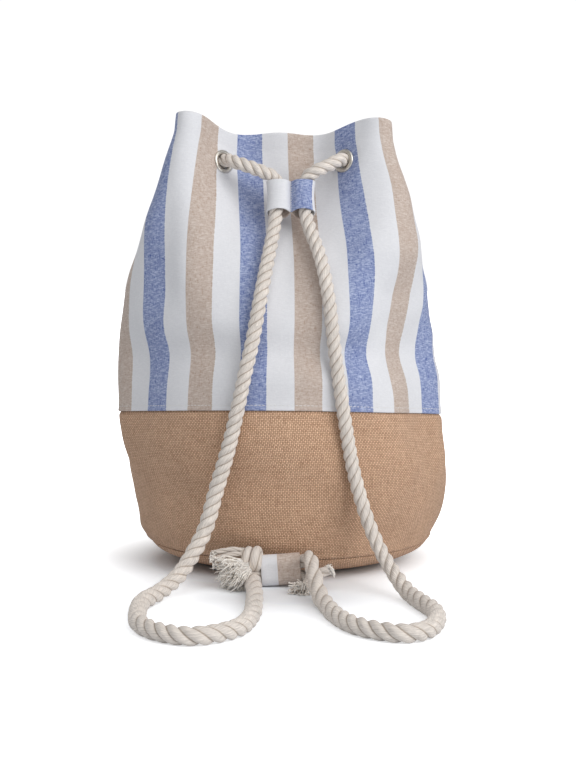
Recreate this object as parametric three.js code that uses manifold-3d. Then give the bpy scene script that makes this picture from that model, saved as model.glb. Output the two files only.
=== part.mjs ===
// Drawstring beach backpack. A tube of striped canvas is sewn to a jute bottom and drawn into four
// folds at the mouth. One rope draws the mouth through eight eyelets, runs through a cloth keeper
// and falls as two shoulder straps to a cloth loop at the base, where both ends are knotted.
// Millimetres, +Z up. The front faces -Y, and the origin lies under the middle of the bag.

import * as THREE from 'three';
import { mergeVertices } from 'three/addons/utils/BufferGeometryUtils.js';
import Module from 'manifold-3d';

const wasm = await Module();
wasm.setup();

// Driving dimensions
const GAP = 0.3;
const COLUMNS = 56;
const FOLDS = 4;
const CANVAS = { round: 930, tall: 260, wall: 2, shift: -0.5, lean: 2, march: 5, substeps: 8, least: 0.5 };
const SLIDE = 7.5;
const SEAM = { height: 133, front: 11, bow: 4.5, left: 1.5 };
const BUCKLE = { up: 50, width: 18, ring: 1.3, right: 4, front: 7.2 };
const BULGE = { up: 80, width: 38, left: 6 };
const SLUMP = { round: -48, width: 24, depth: 4.5 };
const JUTE = { wall: 2.5, seam: 19 };
const EYELET = { count: 2 * FOLDS, below: 215, above: 245, sides: 12 };
const EYELET_RING = { bore: 7.1, barrel: 8.1, flange: 10.6, half: 2.3, lip: 0.9 };
const ROPE = { radius: 6, sides: 8, reach: 6.5, bow: 0.4 };
const KEEPER = { x: 9, y: -102.3, z: 328.5, lean: 17, tall: 27, beyond: 3.5 };
const CHANNEL = { middle: 10.5, wide: 10.9, deep: 8.4, wall: 1.4, rope: 13 };
const TAB = { left: -15.3, right: 16.5, back: -136.2, front: -152.4, foot: 0.3, head: 28.3, wall: 1.5 };
const TONGUE = { foot: 17, head: 18.5, end: -129.4 };

// The canvas: height up the cloth, depth of the four folds, bulge of their floors, sharpness of the
// ridges, steepness of the flanks, slide of the cloth to the left, and lead of the front ridges
const CANVAS_ROWS = [
  { up: 0, fold: 0, floor: 0, ridge: 0, flank: 0, slide: 0, lead: 0 },
  { up: 45, fold: 0.02, floor: 0, ridge: 0, flank: 0, slide: 0, lead: 0 },
  { up: 95, fold: 0.3, floor: 0.05, ridge: 0, flank: 0, slide: 0, lead: 0 },
  { up: 140, fold: 0.63, floor: 0, ridge: 0, flank: 0, slide: 1, lead: 0 },
  { up: 190, fold: 1, floor: -0.3, ridge: 0.06, flank: -0.05, slide: 4, lead: 0.1 },
  { up: 242, fold: 1.2, floor: -0.56, ridge: 0.04, flank: -0.18, slide: 7, lead: 0.25 },
  { up: 260, fold: 1.22, floor: -0.6, ridge: 0.02, flank: -0.22, slide: SLIDE, lead: 0.27 },
];
const CANVAS_FACETS = [0, 20, 40, 55, 70, 90, 115, 140, 165, 190, 215, 245, 260];

// The jute wall: share of the height between its two seams, radius, and shift to the right
const JUTE_ROWS = [
  { up: 0, radius: 129, shift: 7.5 },
  { up: 0.03, radius: 131.5, shift: 6.5 },
  { up: 0.11, radius: 136.5, shift: 5.5 },
  { up: 0.28, radius: 142, shift: 8 },
  { up: 0.43, radius: 144.5, shift: 9 },
  { up: 0.6, radius: 148, shift: 6.5 },
  { up: 0.785, radius: 149.5, shift: 2.5 },
  { up: 1, radius: CANVAS.round / (2 * Math.PI), shift: CANVAS.shift },
];

// The base: its outer and inner faces from the middle to the edge below the wall
const BASE_OUTSIDE = [
  { radius: 75, height: 0 },
  { radius: 94, height: 2.2 },
  { radius: 111, height: 6.5 },
  { radius: 123, height: 12 },
  { radius: 129, height: 18.7 },
];
const BASE_INSIDE = [
  { radius: 126.5, height: 18.7 },
  { radius: 120.8, height: 13.3 },
  { radius: 109.4, height: 8.6 },
  { radius: 93.5, height: 4.6 },
  { radius: 75, height: 2.5 },
];

// The right strap from the knot left of the loop, through the loop and round the floor to the keeper
const RIGHT_STRAP = [
  [-16.9, -144.3, 20.2],
  [20, -144.5, 20.6],
  [24.8, -149, 25.2],
  [27, -161, 26.2],
  [29, -184, 18],
  [32, -214, 8.6],
  [36.5, -249, 6.3],
  [43, -284, 6.3],
  [56, -315, 6.3],
  [73, -332, 6.3],
  [91, -340, 6.3],
  [106, -331, 6.3],
  [117, -301, 6.3],
  [118, -266, 6.3],
  [111.5, -240, 6.4],
  [102.3, -202, 8.5],
  [94, -180, 17],
  [83.5, -162, 33],
  [72.6, -150, 58],
  [61.5, -146.3, 97],
  [55.5, -146.8, 131],
  [50.5, -145.6, 165],
  [45, -143.8, 205],
  [41, -141.3, 241],
  [34.5, -128.9, 275],
];

// The left strap from the keeper down the front, round the floor and into the loop
const LEFT_STRAP = [
  [-10.5, -124.4, 275],
  [-17, -141, 241],
  [-23.3, -147.5, 206],
  [-29.3, -150.6, 180],
  [-35.8, -151.8, 149],
  [-43.6, -150.6, 116],
  [-53.5, -151.8, 82],
  [-62.5, -157, 50],
  [-72.5, -166, 31],
  [-82.5, -180, 17],
  [-94.5, -200, 9],
  [-107, -234, 6.4],
  [-108, -272, 6.3],
  [-102.5, -311, 6.3],
  [-86, -336, 6.3],
  [-61, -348, 6.3],
  [-32, -326, 6.3],
  [-21.5, -286, 6.3],
  [-20, -240, 6.3],
  [-20.5, -199, 6.6],
  [-22.8, -165, 7.6],
  [-24.2, -153.2, 7.8],
  [-18.3, -145.1, 8.3],
  [20.9, -144.3, 8.4],
];

// The rope between the keeper and the two front eyelets
const RIGHT_TURN = [
  [33, -97, 352.5],
  [43.5, -91, 357],
];
const LEFT_TURN = [
  [-41, -91.5, 360],
  [-28, -97, 355.5],
  [-14, -98, 350],
];

// The knots: centre and tilt of each turn of rope, then each frayed lock by its root and aim
const KNOT_TURN = { major: 4.3, minor: 4.1, around: 12, sides: 7 };
const LEFT_TURNS = [
  { x: -22, y: -146, z: 23.6, tilt: 14 },
  { x: -28, y: -147, z: 23.6, tilt: -16 },
];
const LEFT_LOCKS = [
  { x: -28, y: -143, z: 27, toLeft: 1, toFront: 0.16, rise: 0.12, length: 30, thick: 3.4 },
  { x: -28, y: -147, z: 22, toLeft: 1, toFront: 0.1, rise: -0.1, length: 27, thick: 4.6 },
  { x: -28, y: -151, z: 22, toLeft: 1, toFront: 0.45, rise: -0.05, length: 28, thick: 4.6 },
  { x: -29, y: -148, z: 18, toLeft: 1, toFront: 0.2, rise: -0.4, length: 26, thick: 4.4 },
  { x: -29, y: -151, z: 18, toLeft: 1, toFront: 0.6, rise: -0.45, length: 27, thick: 4.4 },
  { x: -30, y: -152, z: 21, toLeft: 0.8, toFront: 0.75, rise: -0.25, length: 26, thick: 4.2 },
];
const RIGHT_TURNS = [
  { x: 26, y: -147, z: 9, tilt: 14 },
  { x: 32, y: -148, z: 9, tilt: -12 },
];
const RIGHT_LOCKS = [
  { x: 30, y: -154, z: 7, toLeft: 0.12, toFront: 1, rise: -0.08, length: 34, thick: 3.4 },
  { x: 27, y: -153, z: 7, toLeft: 0.4, toFront: 1, rise: -0.08, length: 40, thick: 3.6 },
  { x: 24, y: -153, z: 7, toLeft: 0.7, toFront: 1, rise: -0.08, length: 38, thick: 3.6 },
  { x: 26, y: -154, z: 10, toLeft: 0.5, toFront: 1, rise: -0.12, length: 32, thick: 3.4 },
  { x: 31, y: -148, z: 9, toLeft: -1, toFront: 0.15, rise: 0.32, length: 17, thick: 4 },
];
const LOCK = { root: 0.75, middle: 0.4, shoulder: 0.8, end: 0.55, sides: 6 };

// Value of one column of a table, on a smooth curve through its rows
function smooth(rows, key, at) {
  const last = rows.length - 1;
  const slope = (i) => {
    const before = rows[Math.max(i - 1, 0)];
    const after = rows[Math.min(i + 1, last)];
    return (after[key] - before[key]) / (after.up - before.up);
  };
  let i = 0;
  while (i < last - 1 && at > rows[i + 1].up) i += 1;
  const span = rows[i + 1].up - rows[i].up;
  const f = (at - rows[i].up) / span;
  const rise = (1 - f) * (1 - f) * f * slope(i) + (f - 1) * f * f * slope(i + 1);
  return rows[i][key] + (rows[i + 1][key] - rows[i][key]) * f * f * (3 - 2 * f) + span * rise;
}

// Angle of a column round the bag, from the front towards the right
function angleOf(column) {
  return 2 * Math.PI * (column / COLUMNS + SLIDE / CANVAS.round);
}

// Height of the seam between canvas and jute, which leans up at the front
function seamHeight(angle) {
  const facing = Math.cos(angle);
  return SEAM.height + SEAM.front * facing + SEAM.bow * facing * facing - SEAM.left * Math.sin(angle);
}

// Share by which the buckle above the seam draws the canvas in and the bulge on the left lets it out
function drawnIn(up, angle) {
  const buckle = Math.exp(-(((up - BUCKLE.up) / BUCKLE.width) ** 2));
  const bulge = Math.exp(-(((up - BULGE.up) / BULGE.width) ** 2));
  const depth = BUCKLE.ring + BUCKLE.right * Math.sin(angle) + BUCKLE.front * Math.cos(angle);
  const swell = BULGE.left * Math.max(0, -Math.sin(angle)) ** 2;
  return ((depth * buckle - swell * bulge) * 2 * Math.PI) / CANVAS.round;
}

// Direction of the cloth at one place round a level, as it swings in and out of the four folds
function headingOf(row, angle) {
  const turn = angle - (2 * Math.PI * row.slide) / CANVAS.round;
  const phase = FOLDS * turn + row.lead * Math.sin(turn);
  const waves = row.fold * Math.sin(phase) + row.floor * Math.sin(2 * phase);
  return turn - waves - row.ridge * Math.sin(3 * phase) - row.flank * Math.sin(4 * phase);
}

// One level round the canvas. Each stretch of cloth keeps its width, and what the walk round the
// level misses at its end is spread over the columns.
function canvasLevel(up) {
  const row = {};
  for (const key of Object.keys(CANVAS_ROWS[0])) row[key] = smooth(CANVAS_ROWS, key, up);
  const step = CANVAS.round / (COLUMNS * CANVAS.substeps);
  const points = [];
  const walker = new THREE.Vector2();
  for (let column = 0; column < COLUMNS; column += 1) {
    points.push(walker.clone());
    for (let sub = 0; sub < CANVAS.substeps; sub += 1) {
      const heading = headingOf(row, angleOf(column + (sub + 0.5) / CANVAS.substeps));
      walker.x += step * Math.cos(heading);
      walker.y += step * Math.sin(heading);
    }
  }
  points.forEach((point, column) => point.addScaledVector(walker, -column / COLUMNS));
  const middle = points.reduce((sum, point) => sum.addScaledVector(point, 1 / COLUMNS), new THREE.Vector2());
  const shift = CANVAS.shift + CANVAS.lean * (up / CANVAS.tall) ** 2;
  return points.map((point, column) => {
    const share = 1 - drawnIn(up, angleOf(column));
    return point.sub(middle).multiplyScalar(share).add(new THREE.Vector2(shift, 0));
  });
}

// How far the canvas has slumped beside the front left eyelet
function slump(up, column) {
  const turn = angleOf(column);
  const round = (Math.atan2(Math.sin(turn), Math.cos(turn)) / (2 * Math.PI)) * CANVAS.round;
  const near = Math.exp(-(((round - SLUMP.round) / SLUMP.width) ** 2));
  return SLUMP.depth * near * (up / CANVAS.tall) ** 3;
}

// The canvas level by level, each thread as long as it was cut, so that the folds sink at the rim
function canvasSheet() {
  const sheet = [];
  for (let up = 0; up <= CANVAS.tall; up += CANVAS.march) {
    const below = sheet[sheet.length - 1];
    sheet.push(canvasLevel(up).map((point, column) => {
      if (!below) return new THREE.Vector3(point.x, point.y, seamHeight(angleOf(column)) + GAP / 2);
      const across = Math.hypot(point.x - below[column].x, point.y - below[column].y);
      const climb = Math.sqrt(Math.max(CANVAS.march ** 2 - across ** 2, 0));
      const least = CANVAS.march * CANVAS.least;
      return new THREE.Vector3(point.x, point.y, below[column].z + Math.max(climb, least));
    }));
  }
  sheet.forEach((level, i) => level.forEach((point, column) => {
    point.z -= slump(i * CANVAS.march, column);
  }));
  return sheet;
}

const SHEET = canvasSheet();

// A point of the canvas by its place round the cloth and its height up the cloth
function canvasAt(round, up) {
  const place = ((round - SLIDE) / CANVAS.round) * COLUMNS;
  const column = Math.floor(place);
  const across = place - column;
  const level = SHEET[Math.round(up / CANVAS.march)];
  const here = level[(column + COLUMNS) % COLUMNS];
  return here.clone().lerp(level[(column + 1 + COLUMNS) % COLUMNS], across);
}

function juteSheet() {
  return JUTE_ROWS.map((row) => {
    const level = [];
    for (let column = 0; column < COLUMNS; column += 1) {
      const angle = angleOf(column);
      const top = seamHeight(angle) - GAP / 2;
      const x = row.shift + row.radius * Math.sin(angle);
      const y = -row.radius * Math.cos(angle);
      level.push(new THREE.Vector3(x, y, JUTE.seam + (top - JUTE.seam) * row.up));
    }
    return level;
  });
}

// A closed wall of cloth behind a sheet of outside points, open at its top and bottom
function wallOf(sheet, thickness) {
  const positions = [];
  const faces = [];
  const size = sheet.length * COLUMNS;
  for (const level of sheet) level.forEach((point) => positions.push(point.x, point.y, point.z));
  for (const level of sheet) {
    level.forEach((point, column) => {
      const next = level[(column + 1) % COLUMNS];
      const previous = level[(column + COLUMNS - 1) % COLUMNS];
      const out = new THREE.Vector2(next.y - previous.y, previous.x - next.x).normalize();
      positions.push(point.x - out.x * thickness, point.y - out.y * thickness, point.z);
    });
  }
  const quad = (a, b, c, d) => faces.push(a, b, c, a, c, d);
  const top = (sheet.length - 1) * COLUMNS;
  for (let column = 0; column < COLUMNS; column += 1) {
    const next = (column + 1) % COLUMNS;
    for (let foot = 0; foot < top; foot += COLUMNS) {
      const head = foot + COLUMNS;
      quad(foot + column, foot + next, head + next, head + column);
      quad(size + foot + next, size + foot + column, size + head + column, size + head + next);
    }
    quad(top + column, top + next, size + top + next, size + top + column);
    quad(next, column, size + column, size + next);
  }
  const geometry = new THREE.BufferGeometry();
  geometry.setAttribute('position', new THREE.Float32BufferAttribute(positions, 3));
  geometry.setIndex(faces);
  return geometry;
}

// A geometry with its shared corners merged and its empty faces dropped, as a solid that can be cut
function solidOf(geometry) {
  const bare = geometry.clone();
  bare.deleteAttribute('normal');
  bare.deleteAttribute('uv');
  const merged = mergeVertices(bare, 1e-3);
  const corners = [];
  const index = merged.index.array;
  for (let i = 0; i < index.length; i += 3) {
    const [a, b, c] = [index[i], index[i + 1], index[i + 2]];
    if (a !== b && b !== c && c !== a) corners.push(a, b, c);
  }
  const vertProperties = merged.attributes.position.array;
  const triVerts = new Uint32Array(corners);
  return new wasm.Manifold(new wasm.Mesh({ numProp: 3, vertProperties, triVerts }));
}

function geometryOf(solid) {
  const mesh = solid.getMesh();
  const geometry = new THREE.BufferGeometry();
  geometry.setAttribute('position', new THREE.Float32BufferAttribute(mesh.vertProperties, 3));
  geometry.setIndex(Array.from(mesh.triVerts));
  return geometry;
}

function fused(geometries) {
  return geometryOf(geometries.map(solidOf).reduce((whole, part) => whole.add(part)));
}

// A turned shape whose axis points along a direction from a place
function turned(profile, sides, place, direction) {
  const geometry = new THREE.LatheGeometry(profile.map(([r, h]) => new THREE.Vector2(r, h)), sides);
  const turn = new THREE.Quaternion().setFromUnitVectors(new THREE.Vector3(0, 1, 0), direction);
  return geometry.applyQuaternion(turn).translate(place.x, place.y, place.z);
}

// Middle and outward direction of each eyelet, which lies halfway down the flank of a fold
function eyeletSeats() {
  const seats = [];
  const spacing = CANVAS.round / EYELET.count;
  const halfColumn = CANVAS.round / COLUMNS / 2;
  for (let i = 0; i < EYELET.count; i += 1) {
    const round = SLIDE + (i + 0.5) * spacing;
    const corners = [];
    for (const up of [EYELET.below, EYELET.above]) {
      corners.push(canvasAt(round - halfColumn, up), canvasAt(round + halfColumn, up));
    }
    const [lowLeft, lowRight, highLeft, highRight] = corners;
    const out = highRight.clone().sub(lowLeft).cross(highLeft.clone().sub(lowRight)).normalize();
    const middle = lowLeft.add(lowRight).add(highLeft).add(highRight).multiplyScalar(0.25);
    seats.push({ middle: middle.addScaledVector(out, -CANVAS.wall / 2), out });
  }
  return seats;
}

function eyelet(seat) {
  const face = EYELET_RING.half + EYELET_RING.lip;
  const profile = [
    [EYELET_RING.bore, -face],
    [EYELET_RING.flange, -face],
    [EYELET_RING.flange, -EYELET_RING.half],
    [EYELET_RING.barrel, -EYELET_RING.half],
    [EYELET_RING.barrel, EYELET_RING.half],
    [EYELET_RING.flange, EYELET_RING.half],
    [EYELET_RING.flange, face],
    [EYELET_RING.bore, face],
    [EYELET_RING.bore, -face],
  ];
  return turned(profile, EYELET.sides, seat.middle, seat.out);
}

function eyeletHole(seat) {
  const radius = EYELET_RING.barrel + GAP;
  const depth = 2 * EYELET_RING.flange;
  const profile = [[0, -depth], [radius, -depth], [radius, depth], [0, depth]];
  return turned(profile, EYELET.sides, seat.middle, seat.out);
}

// Rope through all the eyelets: straight inside each fold, bowed outside from one fold to the next
function threadedRope(seats) {
  const points = [];
  seats.forEach((seat, i) => {
    const outside = seat.middle.clone().addScaledVector(seat.out, ROPE.reach);
    const inside = seat.middle.clone().addScaledVector(seat.out, -ROPE.reach);
    const leaves = i % 2 === 1;
    points.push(...(leaves ? [inside, outside] : [outside, inside]));
    const following = seats[i + 1];
    if (leaves && following) {
      const landing = following.middle.clone().addScaledVector(following.out, ROPE.reach);
      const pull = outside.distanceTo(landing) * ROPE.bow;
      const flat = (out) => new THREE.Vector3(out.x, out.y, 0).normalize().multiplyScalar(pull);
      const first = outside.clone().add(flat(seat.out));
      const second = landing.clone().add(flat(following.out));
      const bow = new THREE.CubicBezierCurve3(outside, first, second, landing);
      points.push(bow.getPoint(0.25), bow.getPoint(0.5), bow.getPoint(0.75));
    }
  });
  return points;
}

// A curve whose steps fall on its own points
class Route extends THREE.CatmullRomCurve3 {
  getUtoTmapping(u) {
    return u;
  }
}

function ropeAlong(points) {
  const outline = [];
  for (let i = 0; i < ROPE.sides; i += 1) {
    const angle = (2 * Math.PI * (i + 0.5)) / ROPE.sides;
    outline.push(new THREE.Vector2(ROPE.radius * Math.cos(angle), ROPE.radius * Math.sin(angle)));
  }
  const extrudePath = new Route(points);
  return new THREE.ExtrudeGeometry(new THREE.Shape(outline), { steps: points.length - 1, extrudePath });
}

// The rope's straight run through one channel of the keeper, from below to above
function keeperRun(side) {
  const lean = THREE.MathUtils.degToRad(KEEPER.lean);
  const reach = KEEPER.tall / 2 + KEEPER.beyond;
  return [-reach, reach].map((along) => {
    const x = KEEPER.x + side * CHANNEL.rope;
    return new THREE.Vector3(x, KEEPER.y + along * Math.sin(lean), KEEPER.z + along * Math.cos(lean));
  });
}

// Two channels side by side, one for each strand
function keeperGeometry() {
  const meet = Math.acos(CHANNEL.middle / CHANNEL.wide);
  const outline = new THREE.Shape();
  outline.absellipse(CHANNEL.middle, 0, CHANNEL.wide, CHANNEL.deep, meet - Math.PI, Math.PI - meet, false);
  outline.absellipse(-CHANNEL.middle, 0, CHANNEL.wide, CHANNEL.deep, meet, 2 * Math.PI - meet, false);
  for (const side of [-1, 1]) {
    const channel = new THREE.Path();
    const wide = CHANNEL.wide - CHANNEL.wall;
    channel.absellipse(side * CHANNEL.middle, 0, wide, CHANNEL.deep - CHANNEL.wall, 0, 2 * Math.PI, true);
    outline.holes.push(channel);
  }
  const depth = KEEPER.tall;
  const geometry = new THREE.ExtrudeGeometry(outline, { depth, bevelEnabled: false, curveSegments: 14 });
  return geometry.translate(0, 0, -depth / 2);
}

// Outline with round ends between two heights, drawn in the plane across the loop
function roundEnded(path, front, back, foot, head) {
  const radius = (back - front) / 2;
  const middle = (front + back) / 2;
  path.absarc(middle, head - radius, radius, 0, Math.PI, false);
  path.absarc(middle, foot + radius, radius, Math.PI, 2 * Math.PI, false);
  return path;
}

// The base loop: a flat tube of cloth across the bag, with a tongue that reaches the base seam
function tabGeometry() {
  const outline = roundEnded(new THREE.Shape(), TAB.front, TAB.back, TAB.foot, TAB.head);
  outline.lineTo(TAB.back, TONGUE.foot);
  outline.lineTo(TONGUE.end, TONGUE.foot);
  outline.lineTo(TONGUE.end, TONGUE.head);
  outline.lineTo(TAB.back, TONGUE.head);
  const wall = TAB.wall;
  const hole = new THREE.Path();
  outline.holes.push(roundEnded(hole, TAB.front + wall, TAB.back - wall, TAB.foot + wall, TAB.head - wall));
  const depth = TAB.right - TAB.left;
  const geometry = new THREE.ExtrudeGeometry(outline, { depth, bevelEnabled: false, curveSegments: 8 });
  const along = new THREE.Matrix4();
  along.makeBasis(new THREE.Vector3(0, 1, 0), new THREE.Vector3(0, 0, 1), new THREE.Vector3(1, 0, 0));
  return geometry.applyMatrix4(along).translate(TAB.left, 0, 0);
}

function basePanel() {
  const rim = [...BASE_OUTSIDE, ...BASE_INSIDE].map((row) => [row.radius, row.height]);
  const floor = BASE_INSIDE[BASE_INSIDE.length - 1].height;
  const profile = [[0, 0], ...rim, [0, floor]];
  const upright = new THREE.Vector3(0, 0, 1);
  return turned(profile, COLUMNS, new THREE.Vector3(JUTE_ROWS[0].shift, 0, 0), upright);
}

// A knotted rope end: two turns of rope with frayed locks, fused into one body
function knot(turns, locks) {
  const parts = turns.map((turn) => {
    const { major, minor, sides, around } = KNOT_TURN;
    const ring = new THREE.TorusGeometry(major, minor, sides, around);
    ring.rotateY(Math.PI / 2).rotateZ(THREE.MathUtils.degToRad(turn.tilt));
    return ring.translate(turn.x, turn.y, turn.z);
  });
  for (const lock of locks) {
    const aim = new THREE.Vector3(-lock.toLeft, -lock.toFront, lock.rise).normalize();
    const profile = [
      [0, 0],
      [lock.thick * LOCK.root, 0],
      [lock.thick, lock.length * LOCK.middle],
      [lock.thick * LOCK.shoulder, lock.length * LOCK.shoulder],
      [lock.thick * LOCK.end, lock.length],
      [0, lock.length],
    ];
    parts.push(turned(profile, LOCK.sides, new THREE.Vector3(lock.x, lock.y, lock.z), aim));
  }
  return fused(parts);
}

// Colour, roughness and metalness of each material
const LOOK = {
  canvas: { color: 0xd9d9dc, roughness: 0.9, metalness: 0 },
  jute: { color: 0xa87d55, roughness: 0.95, metalness: 0 },
  rope: { color: 0xdcd5c8, roughness: 0.9, metalness: 0 },
  eyelet: { color: 0xa9a498, roughness: 0.35, metalness: 1 },
};

const backpack = new THREE.Group();

function addPiece(name, geometry, look) {
  const mesh = new THREE.Mesh(geometry, new THREE.MeshStandardMaterial(look));
  mesh.name = name;
  backpack.add(mesh);
  return mesh;
}

const SEATS = eyeletSeats();
const holes = SEATS.map((seat) => solidOf(eyeletHole(seat)));
const canvas = wallOf(SHEET.filter((level, i) => CANVAS_FACETS.includes(i * CANVAS.march)), CANVAS.wall);
const pierced = holes.reduce((cloth, hole) => cloth.subtract(hole), solidOf(canvas));
addPiece('upper_body', geometryOf(pierced), LOOK.canvas);
addPiece('lower_body', wallOf(juteSheet(), JUTE.wall), LOOK.jute);
addPiece('base_panel', basePanel(), LOOK.jute);
SEATS.forEach((seat, i) => addPiece(`eyelet_${i + 1}`, eyelet(seat), LOOK.eyelet));

const keeper = addPiece('keeper', keeperGeometry(), LOOK.canvas);
keeper.position.set(KEEPER.x, KEEPER.y, KEEPER.z);
keeper.rotation.x = -THREE.MathUtils.degToRad(KEEPER.lean);
addPiece('rope_tab', tabGeometry(), LOOK.canvas);

const placed = (rows) => rows.map((place) => new THREE.Vector3(...place));
const route = [
  ...placed(RIGHT_STRAP),
  ...keeperRun(1),
  ...placed(RIGHT_TURN),
  ...threadedRope(SEATS),
  ...placed(LEFT_TURN),
  ...keeperRun(-1).reverse(),
  ...placed(LEFT_STRAP),
];
addPiece('rope', ropeAlong(route), LOOK.rope);
addPiece('knot_left', knot(LEFT_TURNS, LEFT_LOCKS), LOOK.rope);
addPiece('knot_right', knot(RIGHT_TURNS, RIGHT_LOCKS), LOOK.rope);

export default backpack;
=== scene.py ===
"""Drawstring beach backpack: striped canvas over a jute bottom, with one rope for closing and carrying."""

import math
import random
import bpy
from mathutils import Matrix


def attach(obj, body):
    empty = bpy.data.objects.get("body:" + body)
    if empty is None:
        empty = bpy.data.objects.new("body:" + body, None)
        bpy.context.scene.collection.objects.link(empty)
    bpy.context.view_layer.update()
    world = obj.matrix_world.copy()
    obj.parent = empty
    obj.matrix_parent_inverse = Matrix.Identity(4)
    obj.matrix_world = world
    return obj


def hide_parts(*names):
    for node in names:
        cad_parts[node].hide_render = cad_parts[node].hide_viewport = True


bl_info = {
    "name": "Drawstring Beach Backpack",
    "version": (1, 0, 0),
    "blender": (4, 5, 0),
    "location": "3D View > Sidebar > Backpack",
    "description": "Builds a striped canvas and jute backpack with rope straps",
    "category": "Object",
}

import bpy
import numpy as np
from bpy.props import FloatProperty, FloatVectorProperty, PointerProperty
from mathutils import Vector

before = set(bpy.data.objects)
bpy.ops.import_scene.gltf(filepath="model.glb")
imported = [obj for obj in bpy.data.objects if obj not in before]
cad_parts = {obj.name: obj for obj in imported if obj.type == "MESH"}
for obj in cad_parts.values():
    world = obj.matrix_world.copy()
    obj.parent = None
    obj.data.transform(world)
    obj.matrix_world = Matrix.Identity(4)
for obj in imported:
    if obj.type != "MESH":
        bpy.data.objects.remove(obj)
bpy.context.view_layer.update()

# Shapes are worked out in millimetres and made in metres
MM = 0.001

# Gap at a seam, and the angles of the rows that round the edge of a cloth
GAP = 0.3
ROLLED = (40, 90, 140)
EDGE_ROWS = len(ROLLED)

# Canvas: its cut, its steps, and how it stands, leans, slides, buckles and slumps
FOLDS = 4
CANVAS_COLUMNS = 384
CANVAS_SUBSTEPS = 4
CANVAS_ROUND = 930
CANVAS_TALL = 260
CANVAS_SHIFT = -0.5
CANVAS_LEAN = 2
CANVAS_SLID = 7.5
CANVAS_LEAST_CLIMB = 0.5
SEAM = {"height": 133, "front": 11, "bow": 4.5, "left": 1.5}
BUCKLE = {"up": 50, "width": 18, "ring": 1.3, "right": 4, "front": 7.2}
BULGE = {"up": 80, "width": 38, "left": 1.5}
SLUMPS = ({"around": -48, "width": 24, "depth": 4.5}, {"around": 106, "width": 22, "depth": -3.2})
FIRST_BEIGE = 23.5

# Eyelets, keeper, base loop and the rope that joins them
EYELET = {
    "count": 2 * FOLDS, "up": 230, "reach": 15, "bore": 6.9, "barrel": 8.1, "hole": 8.3, "flange": 10.6,
}
KEEPER = {
    "x": 9, "y": -102.3, "z": 328.5, "lean": 17, "tall": 27, "beyond": 3.5, "thick": 1.2, "on_cloth": 120,
}
CHANNEL = {"middle": 10.5, "wide": 10.9, "deep": 8.4, "rope": 13}
TAB = {
    "left": -15.3, "right": 16.5, "back": -136.4, "front": -152.2, "foot": 1.3, "head": 27.4, "tilt": 4,
    "thick": 1.4, "on_cloth": 60, "beside_stripe": 1.8,
}
TONGUE = {"foot": 17, "head": 18.5, "end": -129.4, "cut": 14, "on_cloth": 40}
KEEPER_STITCH = {"step": 2.3, "length": 1.5, "radius": 0.3}
SEAM_STITCH = {"up": 3.2, "share": 0.72, "radius": 0.26}
ROPE_REACH = 6.5
ROPE_BOW = 0.4
ROPE_STEP = 1.25
ROPE_SOFTENED = 14
ROPE_FULL = {"usual": 1.02, "on_floor": 0.17, "left": 0.04, "left_low": 0.1, "in_loop": -0.1, "blend": 41}

# Canvas: height up the cloth, depth of the folds, bulge of their floors, sharpness of the ridges,
# steepness of the flanks, slide of the cloth to the left, and lead of the front ridges
CANVAS_UP = (0, 45, 95, 140, 190, 242, 260)
CANVAS_FOLD = (0, 0.02, 0.3, 0.63, 1, 1.2, 1.22)
CANVAS_FLOOR = (0, 0, 0.05, 0, -0.3, -0.56, -0.6)
CANVAS_RIDGE = (0, 0, 0, 0, 0.06, 0.04, 0.02)
CANVAS_FLANK = (0, 0, 0, 0, -0.05, -0.18, -0.22)
CANVAS_SLIDE = (0, 0, 0, 1, 4, 7, CANVAS_SLID)
CANVAS_LEAD = (0, 0, 0, 0, 0.1, 0.25, 0.27)

# Shift of the canvas's right edge, by height up the cloth
CANVAS_RIGHT_UP = (0, 22, 40, 52, 66, 82, 97, 112, 126, 140, 154, 168, 182, 197, 211, 222, 232, 260)
CANVAS_RIGHT = (0, 0, 2.6, 1.4, -3.2, -5.4, -3.9, -2.9, -2.2, 0, 1.7, 2.4, 3.6, 4.4, 3.2, 1.2, 0, 0)

# How far the back of the canvas leans to the front at the mouth, more on its right
CANVAS_BACK = {"forward": 6.2, "more": 0.026, "from": -85, "to": -38, "low": 90, "high": EYELET["up"]}

# Lay of the rope as a share of its usual lay, by distance from the nearer end
ROPE_LOOSER = ((130, 2.9), (200, 1.45), (280, 1.25), (330, 1.8), (400, 1.75), (450, 1.25), (560, 1))

# Creases in the canvas: place round the cloth, width, turn in radians, and the heights
# at which each one begins, is full, begins to fade and is gone
CANVAS_CREASES = (
    (-158, 20, 0.24, -30, -5, 100, 180),
    (-184, 12, -0.8, -30, -5, 100, 180),
    (-92, 13, -0.4, 60, 110, 190, 250),
    (-118, 15, 0.32, 60, 110, 190, 250),
    (94, 24, 0.3, 140, 225, 400, 500),
    (82, 22, 0.42, 40, 80, 100, 150),
    (140, 26, -0.3, 40, 80, 100, 150),
    (126, 20, 0.2, -30, -5, 60, 100),
    (163, 15, -0.4, -30, -5, 60, 100),
    (192, 12, 0.55, -30, -5, 60, 100),
)

# Unevenness of the cloth: seed, count of waves, waves round, their heights, and strength
CANVAS_RIPPLES = ((5, 9, (3, 9), (90, 260), 1.0), (6, 14, (8, 26), (30, 110), 0.45))
JUTE_RIPPLES = ((15, 8, (2, 7), (70, 200), 1.1), (16, 12, (7, 22), (35, 90), 0.4))

# Jute wall: its cut and lower seam, then share of the height between its seams, radius, and shift
JUTE_SEAM = 19
JUTE_SHARE = (0, 0.03, 0.11, 0.28, 0.43, 0.6, 0.785, 1)
JUTE_RADIUS = (129, 131.5, 136.5, 142, 144.5, 148, 149.5, CANVAS_ROUND / (2 * math.pi))
JUTE_SHIFT = (7.5, 6.5, 5.5, 8, 9, 6.5, 2.5, CANVAS_SHIFT)

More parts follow.
